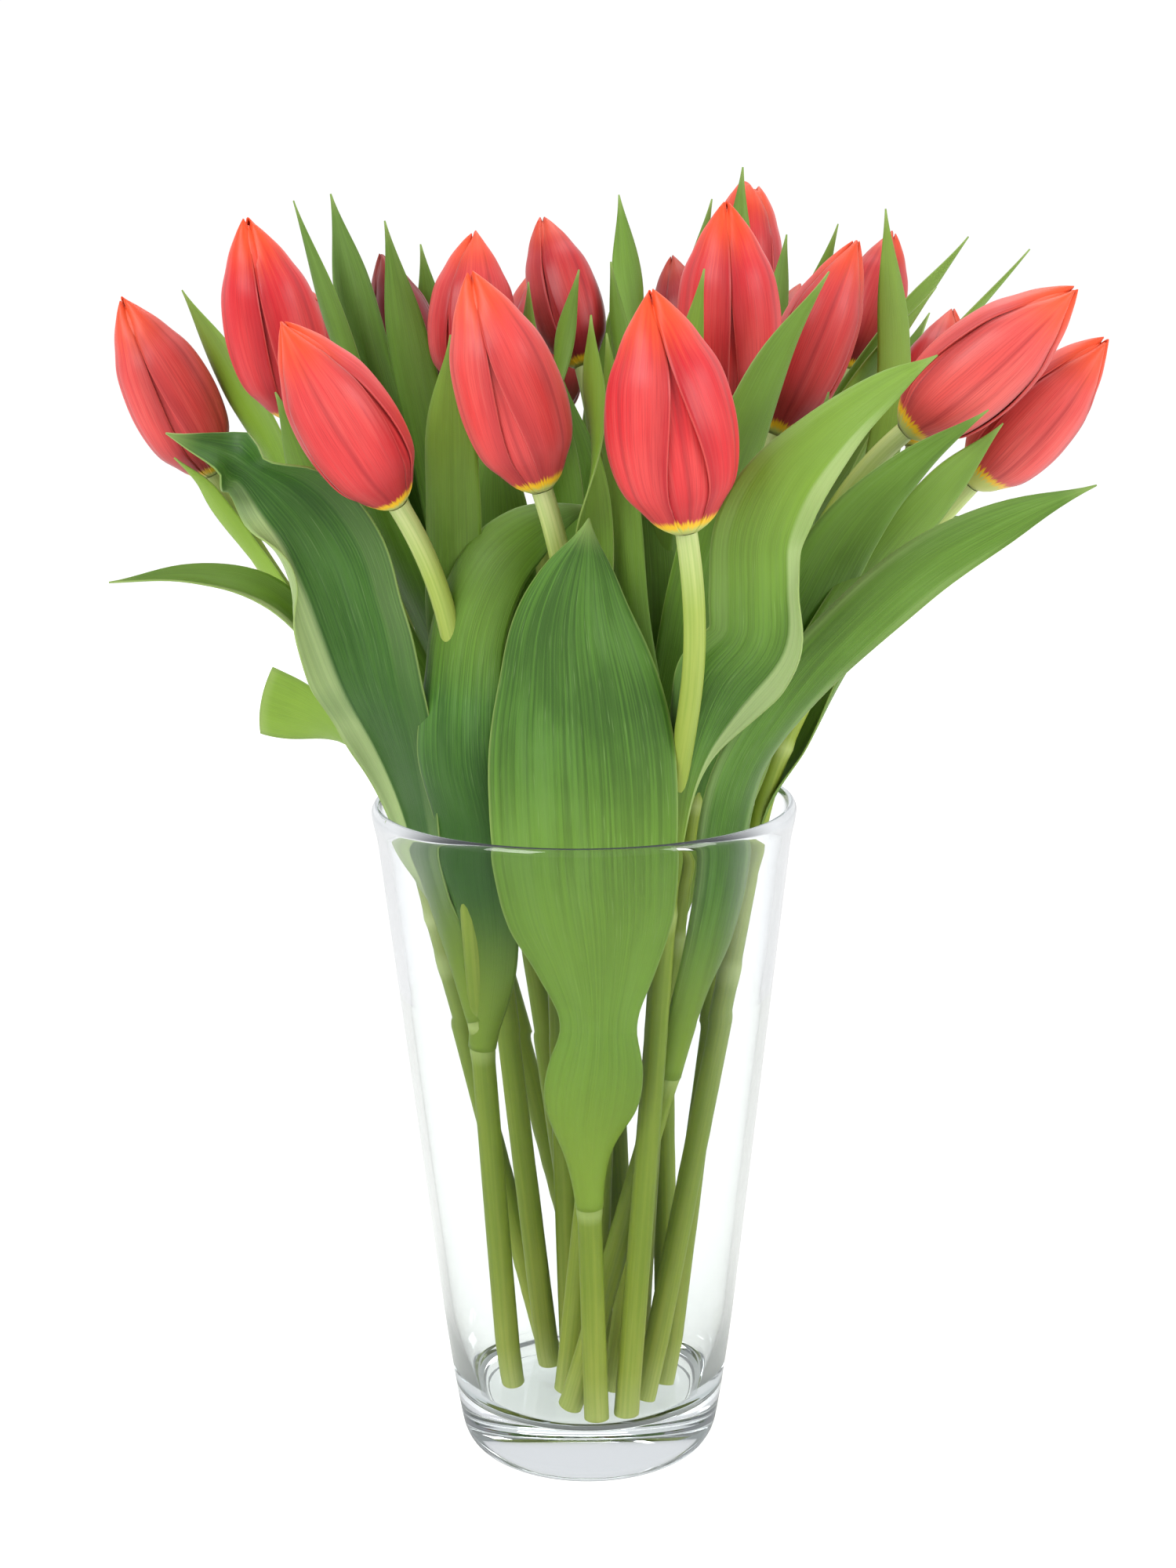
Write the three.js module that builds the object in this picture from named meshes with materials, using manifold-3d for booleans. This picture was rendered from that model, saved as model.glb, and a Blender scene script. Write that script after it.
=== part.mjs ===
// Nineteen red tulips standing in a tapered glass vase of water. Millimetres, +Z up.
// The origin is the middle of the vase's underside, and -Y is the front.
// Every tulip is two solids: its bloom, and its stem with the leaves that grow from it.
import * as THREE from "three";
import { mergeVertices } from "three/addons/utils/BufferGeometryUtils.js";
import Module from "manifold-3d";

const wasm = await Module();
wasm.setup();

// Vase and water. The outer profile goes up the outside from the flat foot to the lip.
const wall = 3.2;
const floorHeight = 18;
const waterHeight = 145;
const gap = 0.35; // clearance between solids that rest on each other
const roundSides = 28;
const vaseOutside = [[32, 0], [36.4, 1.3], [38.6, 5.4], [40.3, 15], [43.6, 38], [55.8, 148], [60.4, 189]];
const vaseLip = [[61.8, 195.5], [62, 198.2], [60.8, 200], [59.2, 199.4]];
const innerCorner = [[36.6, 21.5], [34, floorHeight]];

// Stems run straight from the foot to the neck, where the bunch is narrowest, then curve out.
const footHeight = floorHeight + gap;
const neckHeight = 190;
const footRadius = 3.6;
const topRadius = 2.8;
const stemSides = 6;
const stemSections = 5; // in the curved part
const bend = 0.36; // how stiffly a stem curves between its neck and its bloom

// Leaves. A blade wraps its stem at the root and opens out into a shallow channel.
const bladeThickness = 0.9;
const sheathCup = 2; // radians from the middle of a clasping blade to its edge, at the root
const sheathLength = 0.2; // share of the blade that it takes to open out
const flat = 0.01; // the least cup, in radians
const broadHalfWidth = 12.8; // a blade with a greater half width is split more finely
const broadBlade = { rows: 9, columns: 4 };
const narrowBlade = { rows: 5, columns: 2 };

// Blooms. Three outer petals stand over three inner ones. Shares of length, then of width.
const budProfile = [[0, 0.2], [0.1, 0.6], [0.31, 0.96], [0.56, 0.94], [0.8, 0.6], [1, 0.1]];
const outerPetalHalfAngle = [55, 56, 57, 56, 52, 30];
const petalsInRow = 3;
const petalStep = 0.14; // how far an outer petal stands over its neighbours, as a share of radius
const innerPetalTop = 0.95; // height of an inner petal, as a share of an outer one's
// How much nearer the axis, and how much lower, a petal is at its edge than in its middle.
const outerPetalEdge = { inward: 0.03, lower: 0.07 };
const innerPetalEdge = { inward: 0.05, lower: 0.06 };
const flare = 0.3; // how far the tips of a wide open bloom spread, as a share of radius
const heartHeight = 0.72; // bottom of the hollow between the tips, as a share of length

const colours = {
  glass: 0xdfe8ea,
  water: 0xe8f1ee,
  petal: 0xc9202a,
  stemAndLeaf: 0x5c8f45,
};

// Half widths of a blade from root to tip, evenly spaced: one that clasps its stem, and one that
// starts inside it.
const tip = 0.7;
const clasping = (half) => [7.4, 0.75 * half, 0.95 * half, half, 0.85 * half, 0.55 * half, tip];
const slender = (half) => [3, 0.75 * half, 0.95 * half, half, 0.97 * half, 0.78 * half, tip];

// foot and neck: distance from the axis and direction round it, in degrees from +X.
// base and tip: the two ends of the bloom. width: its greatest width. turn: its turn on its axis.
// A leaf has the height of its root on the stem, the points that its middle line passes,
// its half widths, the direction across it from root to tip, the tilt of that direction,
// its cup in radians, and the height, number and start of its waves.
const tulips = [
  {
    foot: [24, 122], neck: [50, 182], base: [-107, 15, 294], tip: [-129, 4, 345],
    width: 26, turn: 90, open: 0.05,
    leaves: [
      { root: 150, path: [[-54, -5, 200], [-65, -7, 229], [-76, -9, 248], [-89, -12, 262],
        [-110, -16, 268], [-132, -18, 267]],
        halves: [3, 7, 9.5, 10, 9, 6, tip], across: [272, 272, 275, 280, 285],
        tilt: [0, -5, -15, -28, -28], cup: [0.6], wave: [0.8, 2, 0] },
      { root: 165, path: [[-55, 10, 200], [-75, 17, 218], [-97, 30, 224]],
        halves: [3, 6, 7.5, 9, 11], across: [260, 262, 290, 335], tilt: [0, 2, 35, 55], cup: [0.5],
        wave: [1, 1.5, 1] },
      { root: 215, path: [[-76, -3, 268], [-87, 2, 298], [-100, 10, 321], [-114, 20, 346]],
        halves: slender(7.5), across: [285, 300, 330], tilt: [0], cup: [0.6], wave: [0.8, 2, 2] },
      { root: 200, path: [[-65, -5, 220], [-76, 3, 240], [-89, 8, 262], [-97, 10, 273],
        [-104, 8, 284], [-108, 4, 292], [-115, -1, 300]],
        halves: slender(5.5), across: [290, 310], tilt: [0, 25], cup: [0.5], wave: [0.6, 2, 0] },
    ],
  },
  {
    foot: [14, 150], neck: [30, 198], base: [-79, -13, 312], tip: [-89, -24, 366],
    width: 27, turn: 88, open: 0.12,
    leaves: [
      { root: 215, path: [[-60, 6, 256], [-78, 18, 286], [-93, 22, 306], [-99, 24, 323]],
        halves: slender(6.5), across: [285, 300, 320], tilt: [0], cup: [0.7], wave: [0.8, 2, 0] },
      { root: 200, path: [[-58, -27, 258], [-70, -40, 292], [-80, -48, 321]],
        halves: slender(9), across: [330, 350, 350], tilt: [0], cup: [0.6], wave: [0.8, 1.5, 0] },
    ],
  },
  {
    foot: [24.5, 198], neck: [49.5, 230], base: [-47, -72, 294], tip: [-73, -90, 341],
    width: 26, turn: 30, open: 0.05,
    leaves: [
      { root: 134, path: [[-28, -37, 165], [-30, -43, 188], [-31, -46, 203], [-34, -54, 222],
        [-33, -60, 244], [-30, -62, 262], [-22, -62, 278], [-12, -57, 286], [-3, -51, 289],
        [4, -46, 290]],
        halves: [7.4, 9, 11, 12.5, 12.5, 11.5, 10.5, 8, tip],
        across: [325, 333, 338, 340, 345, 350, 350], tilt: [0, 0, 0, 0, -12, -40, -60], cup: [0.6, 0.5],
        wave: [1, 1.5, 1] },
      { root: 142, path: [[-41, -27, 172], [-45, -28, 188], [-48, -30, 203], [-52, -38, 222],
        [-57, -50, 242],
        [-61, -59, 262], [-66, -65, 279], [-74, -70, 293], [-87, -74, 305], [-104, -80, 313]],
        halves: [7.4, 9, 11.5, 14, 16, 17, 16, 11, tip],
        across: [295, 300, 306, 322, 340, 350, 0], tilt: [0, 0, 0, 8, 25, 45, 60],
        cup: [0.6, 0.2, -0.3, -0.4], wave: [1.6, 1.5, 0] },
      { root: 215, path: [[-34, -54, 262], [-34, -60, 300], [-33, -62, 336]],
        halves: slender(8), across: [350, 345], tilt: [0], cup: [0.5], wave: [0.8, 2, 0] },
    ],
  },
  {
    foot: [14, 85], neck: [31, 135], base: [-47, 60, 312], tip: [-61, 71, 356],
    width: 20, turn: 40, open: 0,
    leaves: [
      { root: 190, path: [[-45, 36, 250], [-60, 38, 292], [-72, 38, 332], [-84, 45, 371]],
        halves: slender(6), across: [300, 320], tilt: [0], cup: [0.7], wave: [0.6, 2, 0] },
      { root: 160, path: [[-34, 14, 220], [-50, 8, 262], [-62, 8, 296], [-68, 10, 316]],
        halves: slender(12), across: [310, 320], tilt: [0], cup: [0.5], wave: [1.2, 2, 0] },
      { root: 225, path: [[-50, 42, 276], [-62, 44, 318], [-74, 55, 373]],
        halves: slender(8), across: [320, 350], tilt: [0], cup: [0.8], wave: [0.8, 2, 1] },
      { root: 205, path: [[-33, 62, 270], [-43, 76, 315], [-49, 78, 358]],
        halves: slender(8), across: [20, 0], tilt: [0], cup: [0.6], wave: [0.8, 2, 1] },
    ],
  },
  {
    foot: [5.4, 160], neck: [10, 205], base: [-32, 20, 316], tip: [-30, 24, 362],
    width: 26, turn: 60, open: 0.08,
    leaves: [
      { root: 200, path: [[-36, 26, 262], [-49, 36, 318], [-57, 41, 365]],
        halves: slender(8), across: [330, 345], tilt: [0], cup: [0.6], wave: [0.8, 2, 0] },
      { root: 165, path: [[-15, -22, 215], [-23, -32, 255], [-24, -38, 292], [-22, -38, 316]],
        halves: slender(12.5), across: [335, 345], tilt: [0], cup: [0.5], wave: [1.2, 2, 0] },
    ],
  },
  {
    foot: [30, 274], neck: [50, 268], base: [-10, -69, 297], tip: [-27, -76, 352],
    width: 28, turn: 81, open: 0.05,
    leaves: [
      { root: 89, path: [[0, -45, 113], [3, -50, 140], [3, -53, 166], [1, -56, 192], [0, -62, 218],
        [-1, -69, 240], [-2, -76, 264], [2, -82, 291]],
        halves: [7.4, 9.5, 13.4, 13.4, 10.8, 16.5, 23, 25.5, 26.3, 26, 24.3, 21, 16.5, 9.5, tip],
        across: [0], tilt: [0], cup: [0.45],
        wave: [1.2, 1.5, 0] },
      { root: 215, path: [[3, -62, 262], [3, -66, 290], [3, -72, 341]],
        halves: slender(5.5), across: [10, 350], tilt: [0], cup: [0.6], wave: [0.6, 2, 0] },
    ],
  },
  {
    foot: [5.4, 40], neck: [10, 90], base: [1, 45, 322], tip: [-11, 60, 366],
    width: 22, turn: 65, open: 0.1,
    leaves: [
      { root: 160, path: [[3, 21, 215], [1, 26, 260], [-4, 28, 300], [-6, 30, 322]],
        halves: slender(12), across: [345, 345], tilt: [0], cup: [0.5], wave: [1.2, 2, 0] },
      { root: 215, path: [[-3, 12, 270], [-8, 8, 315], [0, 5, 351]],
        halves: slender(6.5), across: [0, 340], tilt: [0], cup: [0.6], wave: [0.8, 2, 0] },
      { root: 235, path: [[-8, 26, 290], [-15, 32, 320], [-15, 40, 347]],
        halves: slender(4.5), across: [340, 330], tilt: [0], cup: [0.6], wave: [0.6, 2, 0] },
    ],
  },
  {
    foot: [29.5, 291], neck: [46, 300], base: [26, -95, 289], tip: [17, -101, 348],
    width: 33, turn: 98, open: 0.03,
    leaves: [
      { root: 175, path: [[25.5, -45, 197], [28.5, -50, 216], [32, -57, 231], [37, -67, 245],
        [45, -76, 258], [45, -83, 272], [45, -88, 287], [51, -90, 301], [63, -85, 313],
        [78, -76, 323], [91, -67, 330]],
        halves: [3, 2.6, 3.4, 6, 11, 14.6, 12.6, 11.8, 11.6, 9.4, 6.6, 4, tip],
        across: [28, 20, 10, 5, 0, 0], tilt: [0, 0, -5, -15, -35, -50], cup: [0.5],
        wave: [2.4, 2.5, 2] },
      { root: 205, path: [[13, -62, 262], [10, -60, 300], [7, -60, 336]],
        halves: slender(5), across: [340, 350], tilt: [0], cup: [0.6], wave: [0.6, 2, 0] },
    ],
  },
  {
    foot: [14, 240], neck: [31, 290], base: [41, -30, 315], tip: [39, -36, 369],
    width: 28, turn: 90, open: 0.05,
    leaves: [
      { root: 190, path: [[25, -46, 237], [31, -58, 270], [38, -63, 297], [51, -62, 329],
        [64, -59, 351]],
        halves: slender(8.5), across: [20, 20, 40], tilt: [0], cup: [0.5], wave: [0.8, 2, 0] },
      { root: 165, path: [[12, -40, 210], [16, -46, 250], [15, -48, 290], [13, -46, 316]],
        halves: slender(11.5), across: [0, 0], tilt: [0], cup: [0.5], wave: [1.2, 2, 0] },
      { root: 225, path: [[20, -48, 285], [26, -58, 320], [32, -62, 352]],
        halves: slender(5), across: [330, 340], tilt: [0], cup: [0.6], wave: [0.6, 2, 0] },
    ],
  },
  {
    foot: [5.4, 280], neck: [10, 330], base: [34, 52, 314], tip: [28, 62, 354],
    width: 20, turn: 60, open: 0,
    leaves: [
      { root: 215, path: [[12, 14, 268], [18, 32, 318], [12, 60, 372]],
        halves: slender(8), across: [330, 0], tilt: [0], cup: [0.6], wave: [0.8, 2, 0] },
      { root: 160, path: [[18, -10, 215], [26, -16, 260], [28, -20, 300], [26, -20, 322]],
        halves: slender(12), across: [20, 10], tilt: [0], cup: [0.5], wave: [1.2, 2, 0] },
      { root: 205, path: [[12, 2, 262], [13, 10, 310], [9, 14, 353]],
        halves: slender(5.5), across: [10, 350], tilt: [0], cup: [0.6], wave: [0.6, 2, 0] },
    ],
  },
  {
    foot: [14, 35], neck: [31, 80], base: [51, 75, 319], tip: [52, 90, 375],
    width: 24, turn: 15, open: 1,
    leaves: [
      { root: 190, path: [[24, 58, 255], [28, 84, 310], [42, 100, 371]],
        halves: slender(7), across: [20, 350], tilt: [0], cup: [0.6], wave: [0.8, 2, 0] },
      { root: 215, path: [[37, 45, 268], [56, 47, 318], [62, 54, 360]],
        halves: slender(7), across: [350, 0], tilt: [0], cup: [0.6], wave: [0.8, 2, 0] },
    ],
  },
  {
    foot: [14, 300], neck: [31, 342], base: [55, 0, 305], tip: [78, 5, 359],
    width: 23, turn: 30, open: 0.15,
    leaves: [
      { root: 200, path: [[38, 8, 262], [42, 16, 318], [47, 24, 379]],
        halves: slender(8), across: [10, 350], tilt: [0], cup: [0.6], wave: [0.8, 2, 0] },
      { root: 160, path: [[38, -10, 215], [52, -12, 258], [64, -18, 296], [68, -20, 318]],
        halves: slender(12), across: [40, 40], tilt: [0], cup: [0.5], wave: [1.2, 2, 0] },
      { root: 225, path: [[60, 12, 280], [83, 19, 318], [103, 24, 345]],
        halves: slender(7), across: [30, 60], tilt: [0], cup: [0.7], wave: [0.8, 2, 0] },
    ],
  },
  {
    foot: [14, 350], neck: [31, 35], base: [81, 50, 320], tip: [95, 61, 361],
    width: 21, turn: 0, open: 0.1,
    leaves: [
      { root: 205, path: [[53, 50, 268], [66, 67, 318], [79, 71, 363]],
        halves: slender(7), across: [60, 20], tilt: [0], cup: [0.6], wave: [0.8, 2, 0] },
      { root: 220, path: [[60, 30, 278], [84, 30, 318], [114, 38, 359]],
        halves: slender(7.5), across: [20, 50], tilt: [0], cup: [0.6], wave: [0.8, 2, 0] },
    ],
  },
  {
    foot: [23.5, 256], neck: [50, 324], base: [88, -30, 308], tip: [130, -46, 346],
    width: 27, turn: 30, open: 0.05,
    leaves: [
      { root: 124, path: [[33, -34, 157], [38, -37, 182], [40, -39, 200], [44, -46, 218],
        [55, -54, 238],
        [67, -60, 254], [90, -65, 276], [114, -65, 289], [134, -61, 296]],
        halves: [7.4, 8, 9, 9.5, 9, 9, 8.5, 6, tip],
        across: [43, 40, 35, 20, 5, 0], tilt: [0, 0, -10, -35, -55, -65], cup: [0.5],
        wave: [1, 1.5, 0] },
      { root: 190, path: [[51, -39, 236], [61, -46, 263], [72, -50, 284], [89, -52, 302],
        [107, -51, 315]],
        halves: [3, 8, 10.5, 10, 6, tip], across: [40, 35, 20, 10], tilt: [0, -20, -40, -50],
        cup: [0.4], wave: [1.2, 2, 0] },
      { root: 205, path: [[58, -36, 240], [74, -43, 266], [92, -41, 287], [114, -32, 310]],
        halves: slender(7.5), across: [60, 45, 20], tilt: [0, -20, -50], cup: [0.4],
        wave: [1.2, 2, 0] },
    ],
  },
  {
    foot: [24, 312], neck: [50, 354], base: [110, -5, 291], tip: [144, -20, 332],
    width: 25, turn: 40, open: 0.1,
    leaves: [
      { root: 215, path: [[76, 5, 260], [90, 11, 315], [87, 16, 367]],
        halves: slender(6), across: [60, 10], tilt: [0], cup: [0.6], wave: [0.6, 2, 0] },
      { root: 150, path: [[52, 1, 188], [55.5, 2, 200], [65, 7, 214], [78, 14, 236], [98, 24, 262],
        [125, 30, 276]],
        halves: slender(11), across: [88, 98], tilt: [0], cup: [0.5], wave: [1.2, 2, 0] },
    ],
  },
  {
    foot: [24, 338], neck: [50, 22], base: [100, 42, 297], tip: [113, 60, 338],
    width: 22, turn: 10, open: 0.05,
    leaves: [
      { root: 190, path: [[66, 46, 250], [97, 78, 302], [137, 66, 355]],
        halves: slender(8), across: [110, 60], tilt: [0], cup: [0.6], wave: [0.8, 2, 0] },
      { root: 150, path: [[47, 26, 192], [51, 29, 203], [60, 38, 218], [78, 50, 244], [104, 66, 268],
        [134, 80, 272]],
        halves: clasping(16), across: [118, 122], tilt: [0], cup: [0.5], wave: [1.8, 2, 0] },
    ],
  },
  {
    foot: [24, 80], neck: [50, 140], base: [-75, 75, 300], tip: [-90, 96, 346],
    width: 27, turn: 25, open: 0.1,
    leaves: [
      { root: 150, path: [[-42, 34, 192], [-45, 37, 202], [-54, 45, 217], [-70, 56, 244],
        [-94, 68, 280], [-124, 80, 294]],
        halves: clasping(17), across: [228, 228], tilt: [0], cup: [0.5], wave: [1.8, 2, 0] },
      { root: 180, path: [[-40, 55, 235], [-58, 92, 290], [-62, 112, 340]],
        halves: slender(11), across: [215, 200], tilt: [0], cup: [0.5], wave: [1.2, 2, 0] },
    ],
  },
  {
    foot: [24, 42], neck: [50, 104], base: [-12, 95, 300], tip: [-14, 119, 350],
    width: 28, turn: 55, open: 0.1,
    leaves: [
      { root: 150, path: [[-16, 51, 192], [-17, 55, 202], [-21, 67, 217], [-32, 86, 250],
        [-36, 108, 290], [-34, 132, 304]],
        halves: clasping(18), across: [196, 190], tilt: [0], cup: [0.5], wave: [1.8, 2, 0] },
      { root: 170, path: [[2, 60, 225], [10, 96, 285], [12, 112, 345]],
        halves: slender(12), across: [180, 180], tilt: [0], cup: [0.5], wave: [1.2, 2, 0] },
    ],
  },
  {
    foot: [24, 8], neck: [50, 62], base: [60, 95, 298], tip: [72, 118, 344],
    width: 27, turn: 5, open: 0.1,
    leaves: [
      { root: 150, path: [[19, 50, 192], [21, 54, 202], [24, 66, 217], [30, 90, 252], [38, 114, 288],
        [52, 142, 298]],
        halves: clasping(17), across: [162, 160], tilt: [0], cup: [0.5], wave: [1.8, 2, 0] },
      { root: 165, path: [[31, 46, 198], [41, 59, 218], [62, 78, 255], [94, 98, 300], [112, 104, 335]],
        halves: slender(13), across: [138, 130], tilt: [0], cup: [0.5], wave: [1.4, 2, 0] },
    ],
  },
];

const vec = (point) => new THREE.Vector3(...point);
const polar = ([radius, turn], z) => {
  const angle = THREE.MathUtils.degToRad(turn);
  return new THREE.Vector3(radius * Math.cos(angle), radius * Math.sin(angle), z);
};

// A value from a list spread evenly over 0 to 1.
function along(list, share) {
  const place = Math.min(Math.max(share, 0), 1) * (list.length - 1);
  const index = Math.min(Math.floor(place), list.length - 2);
  return list.length === 1 ? list[0] : THREE.MathUtils.lerp(list[index], list[index + 1], place - index);
}

// A closed skin over rings of points, each ring going the same way round.
// The second half of a ring may be split the other way, so that both faces of a blade match.
function loft(rings, { matched = false, heart = null } = {}) {
  const count = rings[0].length;
  const positions = rings.flat().flatMap((point) => point.toArray());
  const faces = [];
  for (let ring = 0; ring < rings.length - 1; ring += 1) {
    for (let index = 0; index < count; index += 1) {
      const next = (index + 1) % count;
      const [a, b] = [ring * count + index, ring * count + next];
      const [c, d] = [b + count, a + count];
      if (matched && index >= count / 2) faces.push(a, b, d, b, c, d);
      else faces.push(a, b, c, a, c, d);
    }
  }
  const last = (rings.length - 1) * count;
  for (let index = 0; index < count / 2 - 1; index += 1) {
    const back = count - 1 - index;
    faces.push(index, back - 1, index + 1, index, back, back - 1);
    if (heart) continue;
    faces.push(last + index, last + index + 1, last + back - 1);
    faces.push(last + index, last + back - 1, last + back);
  }
  if (heart) {
    positions.push(...heart.toArray());
    for (let index = 0; index < count; index += 1) {
      faces.push(last + index, last + (index + 1) % count, rings.length * count);
    }
  }
  const geometry = new THREE.BufferGeometry();
  geometry.setAttribute("position", new THREE.Float32BufferAttribute(positions, 3));
  geometry.setIndex(faces);
  return geometry;
}

function toSolid(geometry) {
  const bare = geometry.clone();
  bare.deleteAttribute("normal");
  bare.deleteAttribute("uv");
  const merged = mergeVertices(bare, 1e-4);
  const vertProperties = new Float32Array(merged.attributes.position.array);
  const triVerts = new Uint32Array(merged.index.array);
  return new wasm.Manifold(new wasm.Mesh({ numProp: 3, vertProperties, triVerts }));
}

function toGeometry(solid) {
  const mesh = solid.getMesh();
  const geometry = new THREE.BufferGeometry();
  geometry.setAttribute("position", new THREE.Float32BufferAttribute(mesh.vertProperties, 3));
  geometry.setIndex(Array.from(mesh.triVerts));
  return geometry;
}

// Fusing can seal a small hollow or cut off a scrap, so only the largest body is kept.
function largestBody(solid) {
  const bodies = solid.decompose();
  return bodies.reduce((best, body) => (body.volume() > best.volume() ? body : best));
}

function stemCurve(tulip) {
  const foot = polar(tulip.foot, footHeight);
  const neck = polar(tulip.neck, neckHeight);
  const base = vec(tulip.base);
  const axis = vec(tulip.tip).sub(base).normalize();
  const top = base.clone().addScaledVector(axis, -gap);
  const pull = bend * neck.distanceTo(base);
  const rise = neck.clone().sub(foot).normalize();
  const curve = new THREE.CurvePath();
  curve.add(new THREE.LineCurve3(foot, neck));
  curve.add(new THREE.CubicBezierCurve3(
    neck,
    neck.clone().addScaledVector(rise, pull),
    top.clone().addScaledVector(axis, -pull),
    top,
  ));
  return curve;
}

function stemPoint(curve, height) {
  const [low, high] = curve.curves;
  const straight = (height - footHeight) / (neckHeight - footHeight);
  if (straight <= 1) return low.getPoint(straight);
  let [from, to] = [0, 1];
  for (let step = 0; step < 20; step += 1) {
    const middle = (from + to) / 2;
    if (high.getPoint(middle).z < height) from = middle;
    else to = middle;
  }
  return high.getPoint(from);
}

function stemGeometry(curve, grow = 0) {
  const [low, high] = curve.curves;
  const points = [low.getPoint(0), ...high.getPoints(stemSections)];
  const tangents = [low.getTangent(0)];
  for (let step = 0; step <= stemSections; step += 1) {
    tangents.push(high.getTangent(step / stemSections));
  }
  const top = points.at(-1).z;
  const rings = points.map((point, index) => {
    const share = (point.z - footHeight) / (top - footHeight);
    const radius = THREE.MathUtils.lerp(footRadius, topRadius, share) + grow;
    const side = new THREE.Vector3(1, 0, 0);
    side.addScaledVector(tangents[index], -tangents[index].x).normalize();
    const other = tangents[index].clone().cross(side);
    return Array.from({ length: stemSides }, (_, corner) => {
      const angle = (2 * Math.PI * corner) / stemSides;
      const place = point.clone()
        .addScaledVector(side, radius * Math.cos(angle))
        .addScaledVector(other, radius * Math.sin(angle));
      if (index > 0) return place;
      return place.addScaledVector(tangents[0], (point.z - grow - place.z) / tangents[0].z);
    });
  });
  return loft(rings);
}

function leafGeometry(leaf, stem, grow = 0) {
  const clasps = leaf.halves[0] > footRadius;
  const root = stemPoint(stem, leaf.root);
  if (clasps) root.add(polar([leaf.halves[0] / sheathCup, leaf.across[0] - 90], 0));
  const spine = new THREE.CatmullRomCurve3([root, ...leaf.path.map(vec)], false, "centripetal");
  const widths = new THREE.SplineCurve(leaf.halves.map((half) => new THREE.Vector2(0, half)));
  const broad = clasps || Math.max(...leaf.halves) > broadHalfWidth;
  const { rows, columns } = broad ? broadBlade : narrowBlade;
  const [waveHeight, waveCount, waveStart] = leaf.wave;
  const rings = [];
  for (let row = 0; row <= rows; row += 1) {
    const share = row / rows;
    const middle = spine.getPointAt(share);
    const tangent = spine.getTangentAt(share);
    const turn = THREE.MathUtils.degToRad(along(leaf.across, share));
    const tilt = THREE.MathUtils.degToRad(along(leaf.tilt, share));
    const across = new THREE.Vector3(
      Math.cos(turn) * Math.cos(tilt),
      Math.sin(turn) * Math.cos(tilt),
      Math.sin(tilt),
    );
    across.addScaledVector(tangent, -across.dot(tangent)).normalize();
    const out = across.clone().cross(tangent);
    const opened = clasps ? THREE.MathUtils.smoothstep(share, 0, sheathLength) : 1;
    const arch = THREE.MathUtils.lerp(sheathCup, along(leaf.cup, share), opened);
    const cup = Math.abs(arch) < flat ? flat : arch;
    const half = widths.getPoint(share).y + grow;
    const radius = half / cup;
    const wave = Math.sin(2 * Math.PI * waveCount * share + waveStart);
    const ripple = waveHeight * wave * Math.sin(Math.PI * share);
    const faces = [1, -1].map((side) => Array.from({ length: columns + 1 }, (_, column) => {
      const place = (2 * column) / columns - 1;
      const angle = place * cup;
      const normal = out.clone().multiplyScalar(Math.cos(angle)).addScaledVector(across, Math.sin(angle));
      const lift = radius + side * (bladeThickness / 2 + grow) + ripple * place * Math.abs(place);
      return middle.clone().addScaledVector(out, -radius).addScaledVector(normal, lift);
    }));
    rings.push([...faces[0], ...faces[1].reverse()]);
  }
  return loft(rings, { matched: true });
}

function bloomGeometry(tulip) {
  const base = vec(tulip.base);
  const axis = vec(tulip.tip).sub(base);
  const length = axis.length();
  const frame = new THREE.Quaternion().setFromUnitVectors(new THREE.Vector3(0, 0, 1), axis.normalize());
  const rings = budProfile.map(([share, size], row) => {
    const ring = [];
    const spread = tulip.open * flare * THREE.MathUtils.smoothstep(share, 0.5, 1);
    const radius = (tulip.width / 2) * (size + spread);
    const reach = outerPetalHalfAngle[row];
    const apart = 360 / petalsInRow;
    const innerReach = apart / 2 - reach - 1;
    const ringPoint = (turn, place, scale, height, edge) => {
      const bow = place ** 2;
      const distance = radius * (scale - edge.inward * bow);
      const point = polar([distance, turn + tulip.turn], length * share * (height - edge.lower * bow));
      return point.applyQuaternion(frame).add(base);
    };
    const innerScale = 1 - petalStep + innerPetalEdge.inward;
    for (let petal = 0; petal < petalsInRow; petal += 1) {
      const turn = petal * apart;
      for (const place of [-1, -0.5, 0, 0.5, 1]) {
        ring.push(ringPoint(turn + place * reach, place, 1, 1, outerPetalEdge));
      }
      for (const place of [-1, 0, 1]) {
        const innerTurn = turn + apart / 2 + place * innerReach;
        ring.push(ringPoint(innerTurn, place, innerScale, innerPetalTop, innerPetalEdge));
      }
    }
    return ring;
  });
  const heart = new THREE.Vector3(0, 0, length * heartHeight).applyQuaternion(frame).add(base);
  return loft(rings, { heart });
}

function outsideRadius(height) {
  const upper = vaseOutside.findIndex(([, z]) => z >= height);
  const [lowRadius, low] = vaseOutside[upper - 1];
  const [highRadius, high] = vaseOutside[upper];
  return THREE.MathUtils.mapLinear(height, low, high, lowRadius, highRadius);
}

function lathe(profile) {
  const points = profile.map(([radius, height]) => new THREE.Vector2(radius, height));
  return new THREE.LatheGeometry(points, roundSides).rotateX(Math.PI / 2);
}

function vaseGeometry() {
  const inside = [189, 148, 38].map((height) => [outsideRadius(height) - wall, height]);
  return lathe([[0, 0], ...vaseOutside, ...vaseLip, ...inside, ...innerCorner, [0, floorHeight]]);
}

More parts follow.
